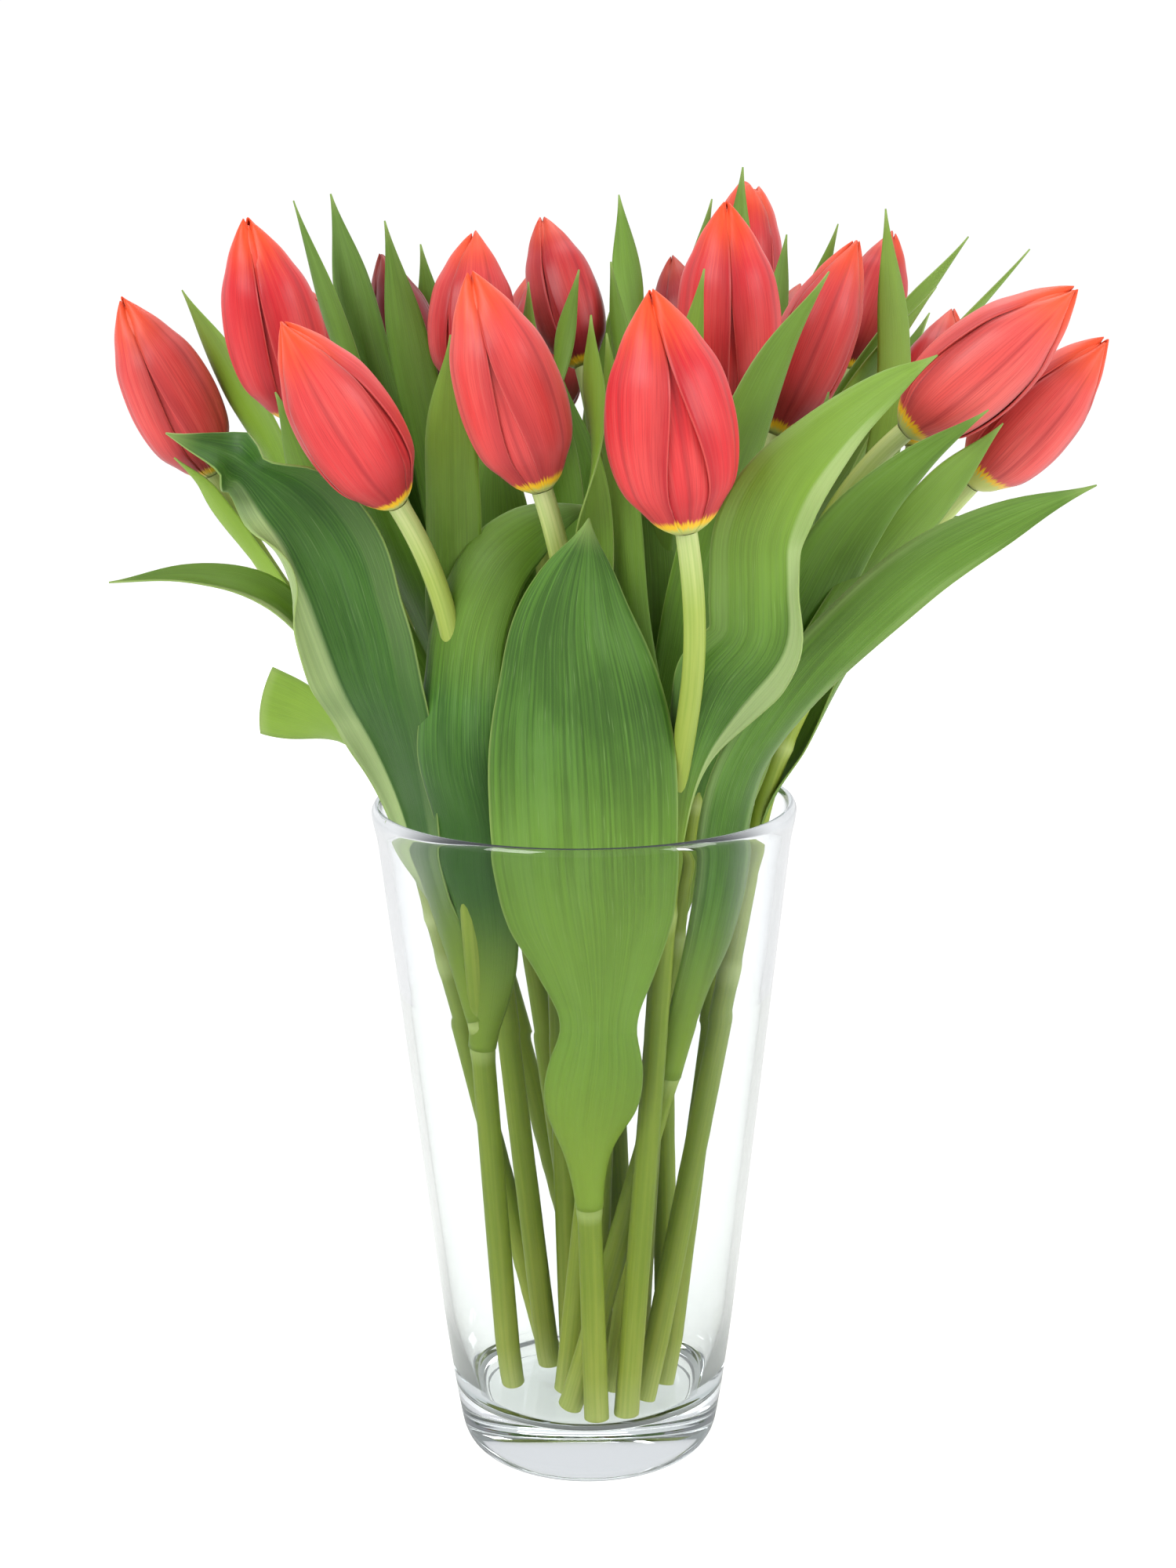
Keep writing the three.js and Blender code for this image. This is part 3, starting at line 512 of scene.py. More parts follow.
tulips = [
    dict(foot=(24, 122), neck=(50, 182), base=(-107, 15, 294), tip=(-129, 4, 345), width=26, turn=90,
         open=0.05, dusk=0.14, blush=0.45, gap=0.05, gold=0.1, leaves=[
        dict(root=150, glow=0.2, roll=(0, 1.2, 0.7), tilt=[0, -5, -15, -28, -28],
             across=[272, 272, 275, 280, 285], halves=[3, 7, 9.5, 10, 9, 6, bladeTip],
             path=[(-54, -5, 200), (-65, -7, 229), (-76, -9, 248), (-89, -12, 262), (-110, -16, 268),
                   (-132, -18, 267)]),
        dict(root=165, glow=0.7, cup=[0.5], wave=(1, 1.5, 1), tilt=[0, 2, 35, 55],
             across=[260, 262, 290, 335], halves=[3, 6, 7.5, 9, 11],
             path=[(-55, 10, 200), (-75, 17, 218), (-97, 30, 224)]),
        dict(root=215, glow=0.5, wave=(0.8, 2, 2), across=[285, 300, 330], halves=slender(7.5),
             path=[(-76, -3, 268), (-87, 2, 298), (-100, 10, 321), (-114, 20, 346)]),
        dict(root=200, glow=0.85, cup=[0.5], wave=(0.6, 2, 0), tilt=[0, 25], across=[290, 310],
             halves=slender(5.5),
             path=[(-65, -5, 220), (-76, 3, 240), (-89, 8, 262), (-97, 10, 273), (-104, 8, 284),
                   (-108, 4, 292), (-115, -1, 300)]),
    ]),
    dict(foot=(14, 150), neck=(30, 198), base=(-79, -13, 312), tip=(-89, -24, 366), width=27, turn=88,
         open=0.12, gold=0.1, leaves=[
        dict(root=215, glow=0.8, cup=[0.7], across=[285, 300, 320], halves=slender(6.5),
             path=[(-60, 6, 256), (-78, 18, 286), (-93, 22, 306), (-99, 24, 323)]),
        dict(root=200, glow=0.35, wave=(0.8, 1.5, 0), across=[330, 350, 350], halves=slender(9),
             path=[(-58, -27, 258), (-70, -40, 292), (-80, -48, 321)]),
    ]),
    dict(foot=(24.5, 198), neck=(49.5, 230), base=(-47, -72, 294), tip=(-73, -90, 341), width=26,
         turn=30, open=0.05, dusk=0.08, blush=0.25, gap=0.06, gold=0.15, leaves=[
        dict(root=134, glow=(-0.8, 0.4), cup=[0.6, 0.5], wave=(1, 1.5, 1),
             tilt=[0, 0, 0, 0, -12, -40, -60], across=[325, 333, 338, 340, 345, 350, 350],
             halves=[7.4, 9, 11, 12.5, 12.5, 11.5, 10.5, 8, bladeTip],
             path=[(-28, -37, 165), (-30, -43, 188), (-31, -46, 203), (-34, -54, 222), (-33, -60, 244),
                   (-30, -62, 262), (-22, -62, 278), (-12, -57, 286), (-3, -51, 289), (4, -46, 290)]),
        dict(root=142, glow=(-0.8, -0.4), roll=(2.4, 0.3, 0.5), cup=[0.6, 0.2, -0.3, -0.4],
             wave=(1.6, 1.5, 0), tilt=[0, 0, 0, 8, 25, 45, 60],
             across=[295, 300, 306, 322, 340, 350, 0],
             halves=[7.4, 9, 11.5, 14, 16, 17, 16, 11, bladeTip],
             path=[(-41, -27, 172), (-45, -28, 188), (-48, -30, 203), (-52, -38, 222), (-57, -50, 242),
                   (-61, -59, 262), (-66, -65, 279), (-74, -70, 293), (-87, -74, 305), (-104, -80, 313)]),
        dict(root=215, glow=0.4, cup=[0.5], across=[350, 345], halves=slender(8),
             path=[(-34, -54, 262), (-34, -60, 300), (-33, -62, 336)]),
    ]),
    dict(foot=(14, 85), neck=(31, 135), base=(-47, 60, 312), tip=(-61, 71, 356), width=20, turn=40,
         open=0, dusk=0.75, leaves=[
        dict(root=190, glow=0.2, cup=[0.7], wave=(0.6, 2, 0), across=[300, 320], halves=slender(6),
             path=[(-45, 36, 250), (-60, 38, 292), (-72, 38, 332), (-84, 45, 371)]),
        dict(root=160, glow=0.1, cup=[0.5], wave=(1.2, 2, 0), across=[310, 320], halves=slender(12),
             path=[(-34, 14, 220), (-50, 8, 262), (-62, 8, 296), (-68, 10, 316)]),
        dict(root=225, glow=0.15, cup=[0.8], wave=(0.8, 2, 1), across=[320, 350], halves=slender(8),
             path=[(-50, 42, 276), (-62, 44, 318), (-74, 55, 373)]),
        dict(root=205, glow=0.2, wave=(0.8, 2, 1), across=[20, 0], halves=slender(8),
             path=[(-33, 62, 270), (-43, 76, 315), (-49, 78, 358)]),
    ]),
    dict(foot=(5.4, 160), neck=(10, 205), base=(-32, 20, 316), tip=(-30, 24, 362), width=26, turn=60,
         open=0.08, dusk=0.1, blush=0.15, leaves=[
        dict(root=200, glow=0.2, across=[330, 345], halves=slender(8),
             path=[(-36, 26, 262), (-49, 36, 318), (-57, 41, 365)]),
        dict(root=165, glow=0.15, cup=[0.5], wave=(1.2, 2, 0), across=[335, 345], halves=slender(12.5),
             path=[(-15, -22, 215), (-23, -32, 255), (-24, -38, 292), (-22, -38, 316)]),
    ]),
    dict(foot=(30, 274), neck=(50, 268), base=(-10, -69, 297), tip=(-27, -76, 352), width=28, turn=81,
         open=0.05, dusk=0.02, blush=0.45, gap=0.14, gold=0.15, leaves=[
        dict(root=89, glow=(0.6, 0.08), cup=[0.45], wave=(1.2, 1.5, 0), across=[0],
             halves=[7.4, 9.5, 13.4, 13.4, 10.8, 16.5, 23, 25.5, 26.3, 26, 24.3, 21, 16.5, 9.5, bladeTip],
             path=[(0, -45, 113), (3, -50, 140), (3, -53, 166), (1, -56, 192), (0, -62, 218),
                   (-1, -69, 240), (-2, -76, 264), (2, -82, 291)]),
        dict(root=215, glow=0.45, wave=(0.6, 2, 0), across=[10, 350], halves=slender(5.5),
             path=[(3, -62, 262), (3, -66, 290), (3, -72, 341)]),
    ]),
    dict(foot=(5.4, 40), neck=(10, 90), base=(1, 45, 322), tip=(-11, 60, 366), width=22, turn=65,
         open=0.1, dusk=0.35, blush=0.1, leaves=[
        dict(root=160, glow=0.1, cup=[0.5], wave=(1.2, 2, 0), across=[345, 345], halves=slender(12),
             path=[(3, 21, 215), (1, 26, 260), (-4, 28, 300), (-6, 30, 322)]),
        dict(root=215, glow=0.3, across=[0, 340], halves=slender(6.5),
             path=[(-3, 12, 270), (-8, 8, 315), (0, 5, 351)]),
        dict(root=235, glow=0.5, wave=(0.6, 2, 0), across=[340, 330], halves=slender(4.5),
             path=[(-8, 26, 290), (-15, 32, 320), (-15, 40, 347)]),
    ]),
    dict(foot=(29.5, 291), neck=(46, 300), base=(26, -95, 289), tip=(17, -101, 348), width=33, turn=98,
         open=0.03, gap=0.28, gold=0.2, leaves=[
        dict(root=175, glow=(0.1, 0.75), roll=(0.3, 2.4, 0.6), cup=[0.5], wave=(2.4, 2.5, 2),
             tilt=[0, 0, -5, -15, -35, -50], across=[28, 20, 10, 5, 0, 0],
             halves=[3, 2.6, 3.4, 6, 11, 14.6, 12.6, 11.8, 11.6, 9.4, 6.6, 4, bladeTip],
             path=[(25.5, -45, 197), (28.5, -50, 216), (32, -57, 231), (37, -67, 245), (45, -76, 258),
                   (45, -83, 272), (45, -88, 287), (51, -90, 301), (63, -85, 313), (78, -76, 323),
                   (91, -67, 330)]),
        dict(root=205, glow=0.4, wave=(0.6, 2, 0), across=[340, 350], halves=slender(5),
             path=[(13, -62, 262), (10, -60, 300), (7, -60, 336)]),
    ]),
    dict(foot=(14, 240), neck=(31, 290), base=(41, -30, 315), tip=(39, -36, 369), width=28, turn=90,
         open=0.05, blush=0.05, leaves=[
        dict(root=190, glow=0.3, cup=[0.5], across=[20, 20, 40], halves=slender(8.5),
             path=[(25, -46, 237), (31, -58, 270), (38, -63, 297), (51, -62, 329), (64, -59, 351)]),
        dict(root=165, glow=0.15, cup=[0.5], wave=(1.2, 2, 0), across=[0, 0], halves=slender(11.5),
             path=[(12, -40, 210), (16, -46, 250), (15, -48, 290), (13, -46, 316)]),
        dict(root=225, glow=0.5, wave=(0.6, 2, 0), across=[330, 340], halves=slender(5),
             path=[(20, -48, 285), (26, -58, 320), (32, -62, 352)]),
    ]),
    dict(foot=(5.4, 280), neck=(10, 330), base=(34, 52, 314), tip=(28, 62, 354), width=20, turn=60,
         open=0, dusk=0.6, blush=0.1, leaves=[
        dict(root=215, glow=0.3, across=[330, 0], halves=slender(8),
             path=[(12, 14, 268), (18, 32, 318), (12, 60, 372)]),
        dict(root=160, glow=0.1, cup=[0.5], wave=(1.2, 2, 0), across=[20, 10], halves=slender(12),
             path=[(18, -10, 215), (26, -16, 260), (28, -20, 300), (26, -20, 322)]),
        dict(root=205, glow=0.3, wave=(0.6, 2, 0), across=[10, 350], halves=slender(5.5),
             path=[(12, 2, 262), (13, 10, 310), (9, 14, 353)]),
    ]),
    dict(foot=(14, 35), neck=(31, 80), base=(51, 75, 319), tip=(52, 90, 375), width=24, turn=15, open=1,
         dusk=0.2, blush=0.1, leaves=[
        dict(root=190, glow=0.3, across=[20, 350], halves=slender(7),
             path=[(24, 58, 255), (28, 84, 310), (42, 100, 371)]),
        dict(root=215, glow=0.3, across=[350, 0], halves=slender(7),
             path=[(37, 45, 268), (56, 47, 318), (62, 54, 360)]),
    ]),
    dict(foot=(14, 300), neck=(31, 342), base=(55, 0, 305), tip=(78, 5, 359), width=23, turn=30,
         open=0.15, dusk=0.2, blush=0.35, gold=0.1, leaves=[
        dict(root=200, glow=0.3, across=[10, 350], halves=slender(8),
             path=[(38, 8, 262), (42, 16, 318), (47, 24, 379)]),
        dict(root=160, glow=0.1, cup=[0.5], wave=(1.2, 2, 0), across=[40, 40], halves=slender(12),
             path=[(38, -10, 215), (52, -12, 258), (64, -18, 296), (68, -20, 318)]),
        dict(root=225, glow=0.55, cup=[0.7], across=[30, 60], halves=slender(7),
             path=[(60, 12, 280), (83, 19, 318), (103, 24, 345)]),
    ]),
    dict(foot=(14, 350), neck=(31, 35), base=(81, 50, 320), tip=(95, 61, 361), width=21, turn=0,
         open=0.1, dusk=0.35, blush=0.15, leaves=[
        dict(root=205, glow=0.4, across=[60, 20], halves=slender(7),
             path=[(53, 50, 268), (66, 67, 318), (79, 71, 363)]),
        dict(root=220, glow=0.5, across=[20, 50], halves=slender(7.5),
             path=[(60, 30, 278), (84, 30, 318), (114, 38, 359)]),
    ]),
    dict(foot=(23.5, 256), neck=(50, 324), base=(88, -30, 308), tip=(130, -46, 346), width=27, turn=30,
         open=0.05, blush=0.65, gold=0.35, leaves=[
        dict(root=124, glow=0.12, roll=(-0.5, 0.5, 0.7), cup=[0.5], wave=(1, 1.5, 0),
             tilt=[0, 0, -10, -35, -55, -65], across=[43, 40, 35, 20, 5, 0],
             halves=[7.4, 8, 9, 9.5, 9, 9, 8.5, 6, bladeTip],
             path=[(33, -34, 157), (38, -37, 182), (40, -39, 200), (44, -46, 218), (55, -54, 238),
                   (67, -60, 254), (90, -65, 276), (114, -65, 289), (134, -61, 296)]),
        dict(root=190, glow=0.2, cup=[0.4], wave=(1.2, 2, 0), tilt=[0, -20, -40, -50],
             across=[40, 35, 20, 10], halves=[3, 8, 10.5, 10, 6, bladeTip],
             path=[(51, -39, 236), (61, -46, 263), (72, -50, 284), (89, -52, 302), (107, -51, 315)]),
        dict(root=205, glow=0.4, cup=[0.4], wave=(1.2, 2, 0), tilt=[0, -20, -50], across=[60, 45, 20],
             halves=slender(7.5),
             path=[(58, -36, 240), (74, -43, 266), (92, -41, 287), (114, -32, 310)]),
    ]),
    dict(foot=(24, 312), neck=(50, 354), base=(110, -5, 291), tip=(144, -20, 332), width=25, turn=40,
         open=0.1, blush=0.6, gold=0.9, leaves=[
        dict(root=215, glow=0.6, wave=(0.6, 2, 0), across=[60, 10], halves=slender(6),
             path=[(76, 5, 260), (90, 11, 315), (87, 16, 367)]),
        dict(root=150, glow=0.3, cup=[0.5], wave=(1.2, 2, 0), across=[88, 98], halves=slender(11),
             path=[(52, 1, 188), (55.5, 2, 200), (65, 7, 214), (78, 14, 236), (98, 24, 262),
                   (125, 30, 276)]),
    ]),
    dict(foot=(24, 338), neck=(50, 22), base=(100, 42, 297), tip=(113, 60, 338), width=22, turn=10,
         open=0.05, dusk=0.4, blush=0.2, leaves=[
        dict(root=190, glow=0.5, across=[110, 60], halves=slender(8),
             path=[(66, 46, 250), (97, 78, 302), (137, 66, 355)]),
        dict(root=150, glow=0.15, cup=[0.5], wave=(1.8, 2, 0), across=[118, 122], halves=clasping(16),
             path=[(47, 26, 192), (51, 29, 203), (60, 38, 218), (78, 50, 244), (104, 66, 268),
                   (134, 80, 272)]),
    ]),
    dict(foot=(24, 80), neck=(50, 140), base=(-75, 75, 300), tip=(-90, 96, 346), width=27, turn=25,
         open=0.1, dusk=0.45, blush=0.1, leaves=[
        dict(root=150, cup=[0.5], wave=(1.8, 2, 0), across=[228, 228], halves=clasping(17),
             path=[(-42, 34, 192), (-45, 37, 202), (-54, 45, 217), (-70, 56, 244), (-94, 68, 280),
                   (-124, 80, 294)]),
        dict(root=180, cup=[0.5], wave=(1.2, 2, 0), across=[215, 200], halves=slender(11),
             path=[(-40, 55, 235), (-58, 92, 290), (-62, 112, 340)]),
    ]),
    dict(foot=(24, 42), neck=(50, 104), base=(-12, 95, 300), tip=(-14, 119, 350), width=28, turn=55,
         open=0.1, dusk=0.45, blush=0.1, leaves=[
        dict(root=150, cup=[0.5], wave=(1.8, 2, 0), across=[196, 190], halves=clasping(18),
             path=[(-16, 51, 192), (-17, 55, 202), (-21, 67, 217), (-32, 86, 250), (-36, 108, 290),
                   (-34, 132, 304)]),
        dict(root=170, cup=[0.5], wave=(1.2, 2, 0), across=[180, 180], halves=slender(12),
             path=[(2, 60, 225), (10, 96, 285), (12, 112, 345)]),
    ]),
    dict(foot=(24, 8), neck=(50, 62), base=(60, 95, 298), tip=(72, 118, 344), width=27, turn=5,
         open=0.1, dusk=0.45, blush=0.1, leaves=[
        dict(root=150, cup=[0.5], wave=(1.8, 2, 0), across=[162, 160], halves=clasping(17),
             path=[(19, 50, 192), (21, 54, 202), (24, 66, 217), (30, 90, 252), (38, 114, 288),
                   (52, 142, 298)]),
        dict(root=165, cup=[0.5], wave=(1.4, 2, 0), across=[138, 130], halves=slender(13),
             path=[(31, 46, 198), (41, 59, 218), (62, 78, 255), (94, 98, 300), (112, 104, 335)]),
    ]),
]


def polar(distance, turn, height=0):
    angle = math.radians(turn)
    return Vector((distance * math.cos(angle), distance * math.sin(angle), height))


def lerp(first, second, share):
    return first + (second - first) * share


def smoothStep(value, start, end):
    share = min(max((value - start) / (end - start), 0), 1)
    return share * share * (3 - 2 * share)


def smoothAlong(values, share):
    # a value from a list spread evenly over 0 to 1, on a Catmull-Rom curve through them
    if len(values) == 1:
        return values[0]
    place = min(max(share, 0), 1) * (len(values) - 1)
    index = min(int(place), len(values) - 2)
    t = place - index
    p = [values[min(max(index + shift, 0), len(values) - 1)] for shift in (-1, 0, 1, 2)]
    pull, push = (p[2] - p[0]) / 2, (p[3] - p[1]) / 2
    rise = (2 * p[1] - 2 * p[2] + pull + push) * t ** 3
    return rise + (-3 * p[1] + 3 * p[2] - 2 * pull - push) * t ** 2 + pull * t + p[1]


def centripetal(points, steps=24):
    # close points on a centripetal Catmull-Rom curve through the given ones
    ends = [points[0] * 2 - points[1], *points, points[-1] * 2 - points[-2]]
    line = [points[0]]
    for a, b, c, d in zip(ends, ends[1:], ends[2:], ends[3:]):
        ab, bc, cd = [(second - first).length ** 0.5 for first, second in ((a, b), (b, c), (c, d))]
        start = ((b - a) / ab - (c - a) / (ab + bc) + (c - b) / bc) * bc
        end = ((c - b) / bc - (d - b) / (bc + cd) + (d - c) / cd) * bc
        for step in range(1, steps + 1):
            t = step / steps
            line.append((2 * b - 2 * c + start + end) * t ** 3
                        + (-3 * b + 3 * c - 2 * start - end) * t ** 2 + start * t + b)
    return line


def evenly(line, count):
    # count points at equal distances along a line of close points
    lengths = [0]
    for first, second in zip(line, line[1:]):
        lengths.append(lengths[-1] + (second - first).length)
    spread, index = [], 0
    for step in range(count):
        wanted = lengths[-1] * step / (count - 1)
        while index < len(line) - 2 and lengths[index + 1] < wanted:
            index += 1
        share = (wanted - lengths[index]) / (lengths[index + 1] - lengths[index])
        spread.append(line[index].lerp(line[index + 1], share))
    return spread


def bezier(a, b, c, d, t):
    return a * (1 - t) ** 3 + b * 3 * t * (1 - t) ** 2 + c * 3 * t * t * (1 - t) + d * t ** 3


def stemLine(tulip):
    # straight from the foot to the neck, then one bend up to the bloom
    sizes = stemSizes
    straight, bent = sizes["straightSteps"], sizes["bentSteps"]
    foot = polar(*tulip["foot"], sizes["footHeight"])
    neck = polar(*tulip["neck"], sizes["neckHeight"])
    base = Vector(tulip["base"])
    axis = (Vector(tulip["tip"]) - base).normalized()
    top = base - axis * leafSizes["gap"]
    pull = sizes["bend"] * (base - neck).length
    rise = (neck - foot).normalized()
    line = [foot.lerp(neck, step / straight) for step in range(straight)]
    for step in range(bent + 1):
        line.append(bezier(neck, neck + rise * pull, top - axis * pull, top, step / bent))
    return line


def stemPoint(line, height):
    for first, second in zip(line, line[1:]):
        if first.z <= height <= second.z:
            return first.lerp(second, (height - first.z) / (second.z - first.z))
    return line[-1]


def lineMesh(points, values):
    # a chain of points, with values stored on them
    mesh = bpy.data.meshes.new("line")
    edges = [(index, index + 1) for index in range(len(points) - 1)]
    mesh.from_pydata([point * mm for point in points], edges, [])
    for name, numbers in values.items():
        if isinstance(numbers[0], Vector):
            layer = mesh.attributes.new(name, "FLOAT_VECTOR", "POINT")
            layer.data.foreach_set("vector", [part for number in numbers for part in number])
        else:
            layer = mesh.attributes.new(name, "FLOAT", "POINT")
            layer.data.foreach_set("value", numbers)
    return mesh


def makeStemShape():
    graph, given = newShape("stemShape", {"Sides": "Int", "Material": "Material"})
    curve = graph.add("GeometryNodeMeshToCurve", None, {"Mesh": given["Geometry"]})
    profile = graph.add("GeometryNodeCurvePrimitiveCircle", None, {
        "Resolution": given["Sides"], "Radius": 1.0,
    })
    marked = store(graph, profile, "ring", graph.add("GeometryNodeInputPosition"), "FLOAT_VECTOR")
    tube = graph.add("GeometryNodeCurveToMesh", None, {
        "Curve": curve, "Profile Curve": marked, "Scale": stored(graph, "thick"), "Fill Caps": True,
    })
    return closeShape(graph, tube, given["Material"])


leafRelief = {
    # noise with so many features across and along, unlike on every other leaf, and its detail
    "edge": (0.8, 7.0, 1.7, 1.0), "rollNoise": (5.0, 3.4, 2.9, 1.0),
    # from where to where each sets in
    "roll": (0.25, 0.7), "rollInside": (0.2, 0.8), "warmer": (0.35, 0.75), "fold": (0.0, 0.06),
    "leastRoll": 0.001,  # keeps a margin that doesn't roll from dividing by nothing
}


def makeLeafShape():
    # a blade bent round its middle line
    relief = leafRelief
    graph, given = newShape("leafShape", {
        "Rows": "Int", "Columns": "Int", "Wave Height": "Float", "Wave Count": "Float",
        "Wave Start": "Float", "Edge Wave": "Float", "Roll Left": "Float", "Roll Right": "Float",
        "Roll From": "Float", "Root Light": "Float", "Tip Light": "Float", "Seed": "Int",
        "Material": "Material",
    })
    sheet, place, share = gridSheet(graph, given)
    curve = graph.add("GeometryNodeMeshToCurve", None, {"Mesh": given["Geometry"]})

    def sample(name, kind="FLOAT"):
        return graph.add("GeometryNodeSampleCurve", {"mode": "FACTOR", "data_type": kind}, {
            "Curves": curve, "Value": stored(graph, name, kind), "Factor": share,
        })

    widest = sample("half")
    middle, tangent, half = widest["Position"], widest["Tangent"], widest["Value"]
    cup = sample("cup")
    across = sample("across", "FLOAT_VECTOR")
    across = calc("NORMALIZE", across - tangent * calc("DOT_PRODUCT", across, tangent))
    out = calc("CROSS_PRODUCT", across, tangent)
    radius = half / cup
    angle = place * cup
    normal = out * calc("COSINE", angle) + across * calc("SINE", angle)
    inside = calc("SINE", share * math.pi)
    wave = calc("SINE", share * given["Wave Count"] * (2 * math.pi) + given["Wave Start"])
    ripple = given["Wave Height"] * wave * inside * place * abs(place)
    side = grain(graph, (place, share, given["Seed"]), relief["edge"])
    edge = given["Edge Wave"] * (side - 0.5) * inside * abs(place) ** 3
    lift = radius + ripple + edge
    # a margin rolls over: past Roll From, the blade goes on along an arc
    left = calc("LESS_THAN", place, 0.0)
    roll = given["Roll Left"] * left + given["Roll Right"] * (1 - left)
    uneven = grain(graph, (left, share, given["Seed"]), relief["rollNoise"])
    shown = graph.step(uneven, *relief["roll"])
    bend = roll * shown * graph.step(inside, *relief["rollInside"]) + relief["leastRoll"]
    past = calc("MAXIMUM", abs(place) - given["Roll From"], 0.0) * half
    tight = bend / (half * (1 - given["Roll From"]))
    inward = past - calc("SINE", tight * past) / tight
    upward = (1 - calc("COSINE", tight * past)) / tight
    along = across * calc("COSINE", angle) - out * calc("SINE", angle)
    rolled = along * inward * (left * 2 - 1) + normal * upward
    # what depends on the flat sheet is stored before the sheet is bent
    # how light a green each point is, from root to tip: partly the leaf's own tone, partly painted light
    # and shade
    warmer = (given["Tip Light"] - given["Root Light"]) * graph.step(share, *relief["warmer"])
    lit = store(graph, sheet, "glow", given["Root Light"] + warmer)
    turned = calc("MINIMUM", abs(bend), 1.0) * graph.step(past / half, *relief["fold"])
    folded = store(graph, lit, "fold", turned)
    seeded = store(graph, folded, "seed", given["Seed"])
    moved = graph.add("GeometryNodeSetPosition", None, {
        "Geometry": seeded, "Position": middle - out * radius + normal * lift + rolled,
    })
    smooth = graph.add("GeometryNodeSetShadeSmooth", None, {"Geometry": moved})
    return closeShape(graph, smooth, given["Material"])


# the bud's half width and an outer petal's half angle, as shares of the greatest, from base to tip
budOutline = [(0, 0.2), (0.1, 0.6), (0.31, 0.96), (0.56, 0.94), (0.8, 0.6), (0.93, 0.28), (1, 0.035)]
petalReach = [(0, 0.86), (0.1, 0.88), (0.31, 0.93), (0.56, 0.98), (0.8, 1.0), (0.94, 0.98), (1, 0.85)]
petalAngle = 60.0
petalRelief = {
    "flare": 0.3, "ribs": 0.05, "crease": 0.02, "creaseSharpness": 55.0, "wander": 0.1, "bow": 0.04,
    "wanderNoise": (1.1, 1.3, 1.0, 1.0), "ribNoise": (4.5, 0.9, 1.0, 2.0),
    # from where to where each sets in, as shares of the height
    "gapFades": (0.1, 0.95), "flares": (0.5, 1.0), "wanders": (0.1, 0.6), "ribbed": (0.05, 0.3),
    # the least and the greatest of what differs from petal to petal
    "lip": (0.0, 0.05), "ring": (0.985, 1.015), "lean": (-3.0, 3.0), "height": (0.975, 1.0),
}
bloomSizes = {
    "rows": 44, "columns": 27, "thickness": 0.45, "count": 3,
    "outer": {"Ring": 1, "Top": 1, "Reach": 1, "Lower Edge": 0.055},
    "inner": {"Ring": 0.92, "Top": 0.965, "Reach": 0.92, "Lower Edge": 0.05},
}


def makePetalShape():
    # a ring of petals round +Z: each is a sheet bent on the bud's own outline
    relief = petalRelief
    graph, given = newShape("petalShape", {
        "Rows": "Int", "Columns": "Int", "Count": "Int", "Length": "Float", "Half Width": "Float",
        "Open": "Float", "Turn": "Float", "Ring": "Float", "Top": "Float", "Reach": "Float",
        "Gap": "Float", "Lower Edge": "Float", "Dusk": "Float", "Gold": "Float", "Blush": "Float",
        "Seed": "Int", "Material": "Material",
    })
    sheet, place, share = gridSheet(graph, given)
    points = graph.add("GeometryNodeMeshLine", None, {"Count": given["Count"], "Offset": (0, 0, 0)})
    copies = graph.add("GeometryNodeInstanceOnPoints", None, {"Points": points, "Instance": sheet})
    index = graph.add("GeometryNodeInputIndex")
    marked = store(graph, copies, "petal", index, "FLOAT", "INSTANCE")
    ring = graph.add("GeometryNodeRealizeInstances", None, {"Geometry": marked})
    petal = stored(graph, "petal")

    def chance(salt, between):
        # one number for each petal of the ring
        return graph.add("FunctionNodeRandomValue", {"data_type": "FLOAT"}, {
            2: between[0], 3: between[1], "ID": petal + salt * 10, "Seed": given["Seed"],
        })

    size = graph.add("ShaderNodeFloatCurve", {"stops": budOutline}, {"Value": share})
    reach = graph.add("ShaderNodeFloatCurve", {"stops": petalReach}, {"Value": share}) * petalAngle
    reach = reach - given["Gap"] * petalAngle * (1 - graph.step(share, *relief["gapFades"]))
    spread = given["Open"] * relief["flare"] * graph.step(share, *relief["flares"])
    bow = place * place
    inside = calc("SINE", share * math.pi)
    edgeward = grain(
        graph, (place, share, petal * 3.7 + given["Seed"] * 1.3), relief["wanderNoise"])
    ribs = grain(graph, (place, share, petal * 2.3 + given["Seed"]), relief["ribNoise"])
    crease = calc("EXPONENT", bow * -relief["creaseSharpness"]) * inside
    lip = abs(place) ** 8 * inside * chance(1, relief["lip"])
    wander = (edgeward - 0.5) * relief["wander"] * graph.step(share, *relief["wanders"])
    ribbed = (ribs - 0.5) * relief["ribs"] * graph.step(share, *relief["ribbed"])
    uneven = ribbed - crease * relief["crease"] + lip + wander
    scale = given["Ring"] * chance(2, relief["ring"]) - bow * relief["bow"] + uneven
    radius = given["Half Width"] * (size + spread) * scale
    lean = chance(3, relief["lean"]) * share
    turn = given["Turn"] + petal * (2 * petalAngle) + place * reach * given["Reach"] + lean
    angle = turn * math.radians(1)
    tall = given["Top"] * chance(4, relief["height"]) - bow * given["Lower Edge"] * share
    height = given["Length"] * share * tall
    moved = graph.add("GeometryNodeSetPosition", None, {
        "Geometry": ring,
        "Position": graph.vector(radius * calc("COSINE", angle), radius * calc("SINE", angle), height),
    })
    # each bloom's painted shade, its paleness, which is partly painted light, and its yellow reach are
    # stored for the material
    for name in ("Dusk", "Gold", "Blush"):
        moved = store(graph, moved, name.lower(), given[name])
    varied = store(graph, moved, "petal", petal + given["Seed"] * 3.0)
    smooth = graph.add("GeometryNodeSetShadeSmooth", None, {"Geometry": varied})
    return closeShape(graph, smooth, given["Material"])


stemShape = makeStemShape()
leafShape = makeLeafShape()
petalShape = makePetalShape()


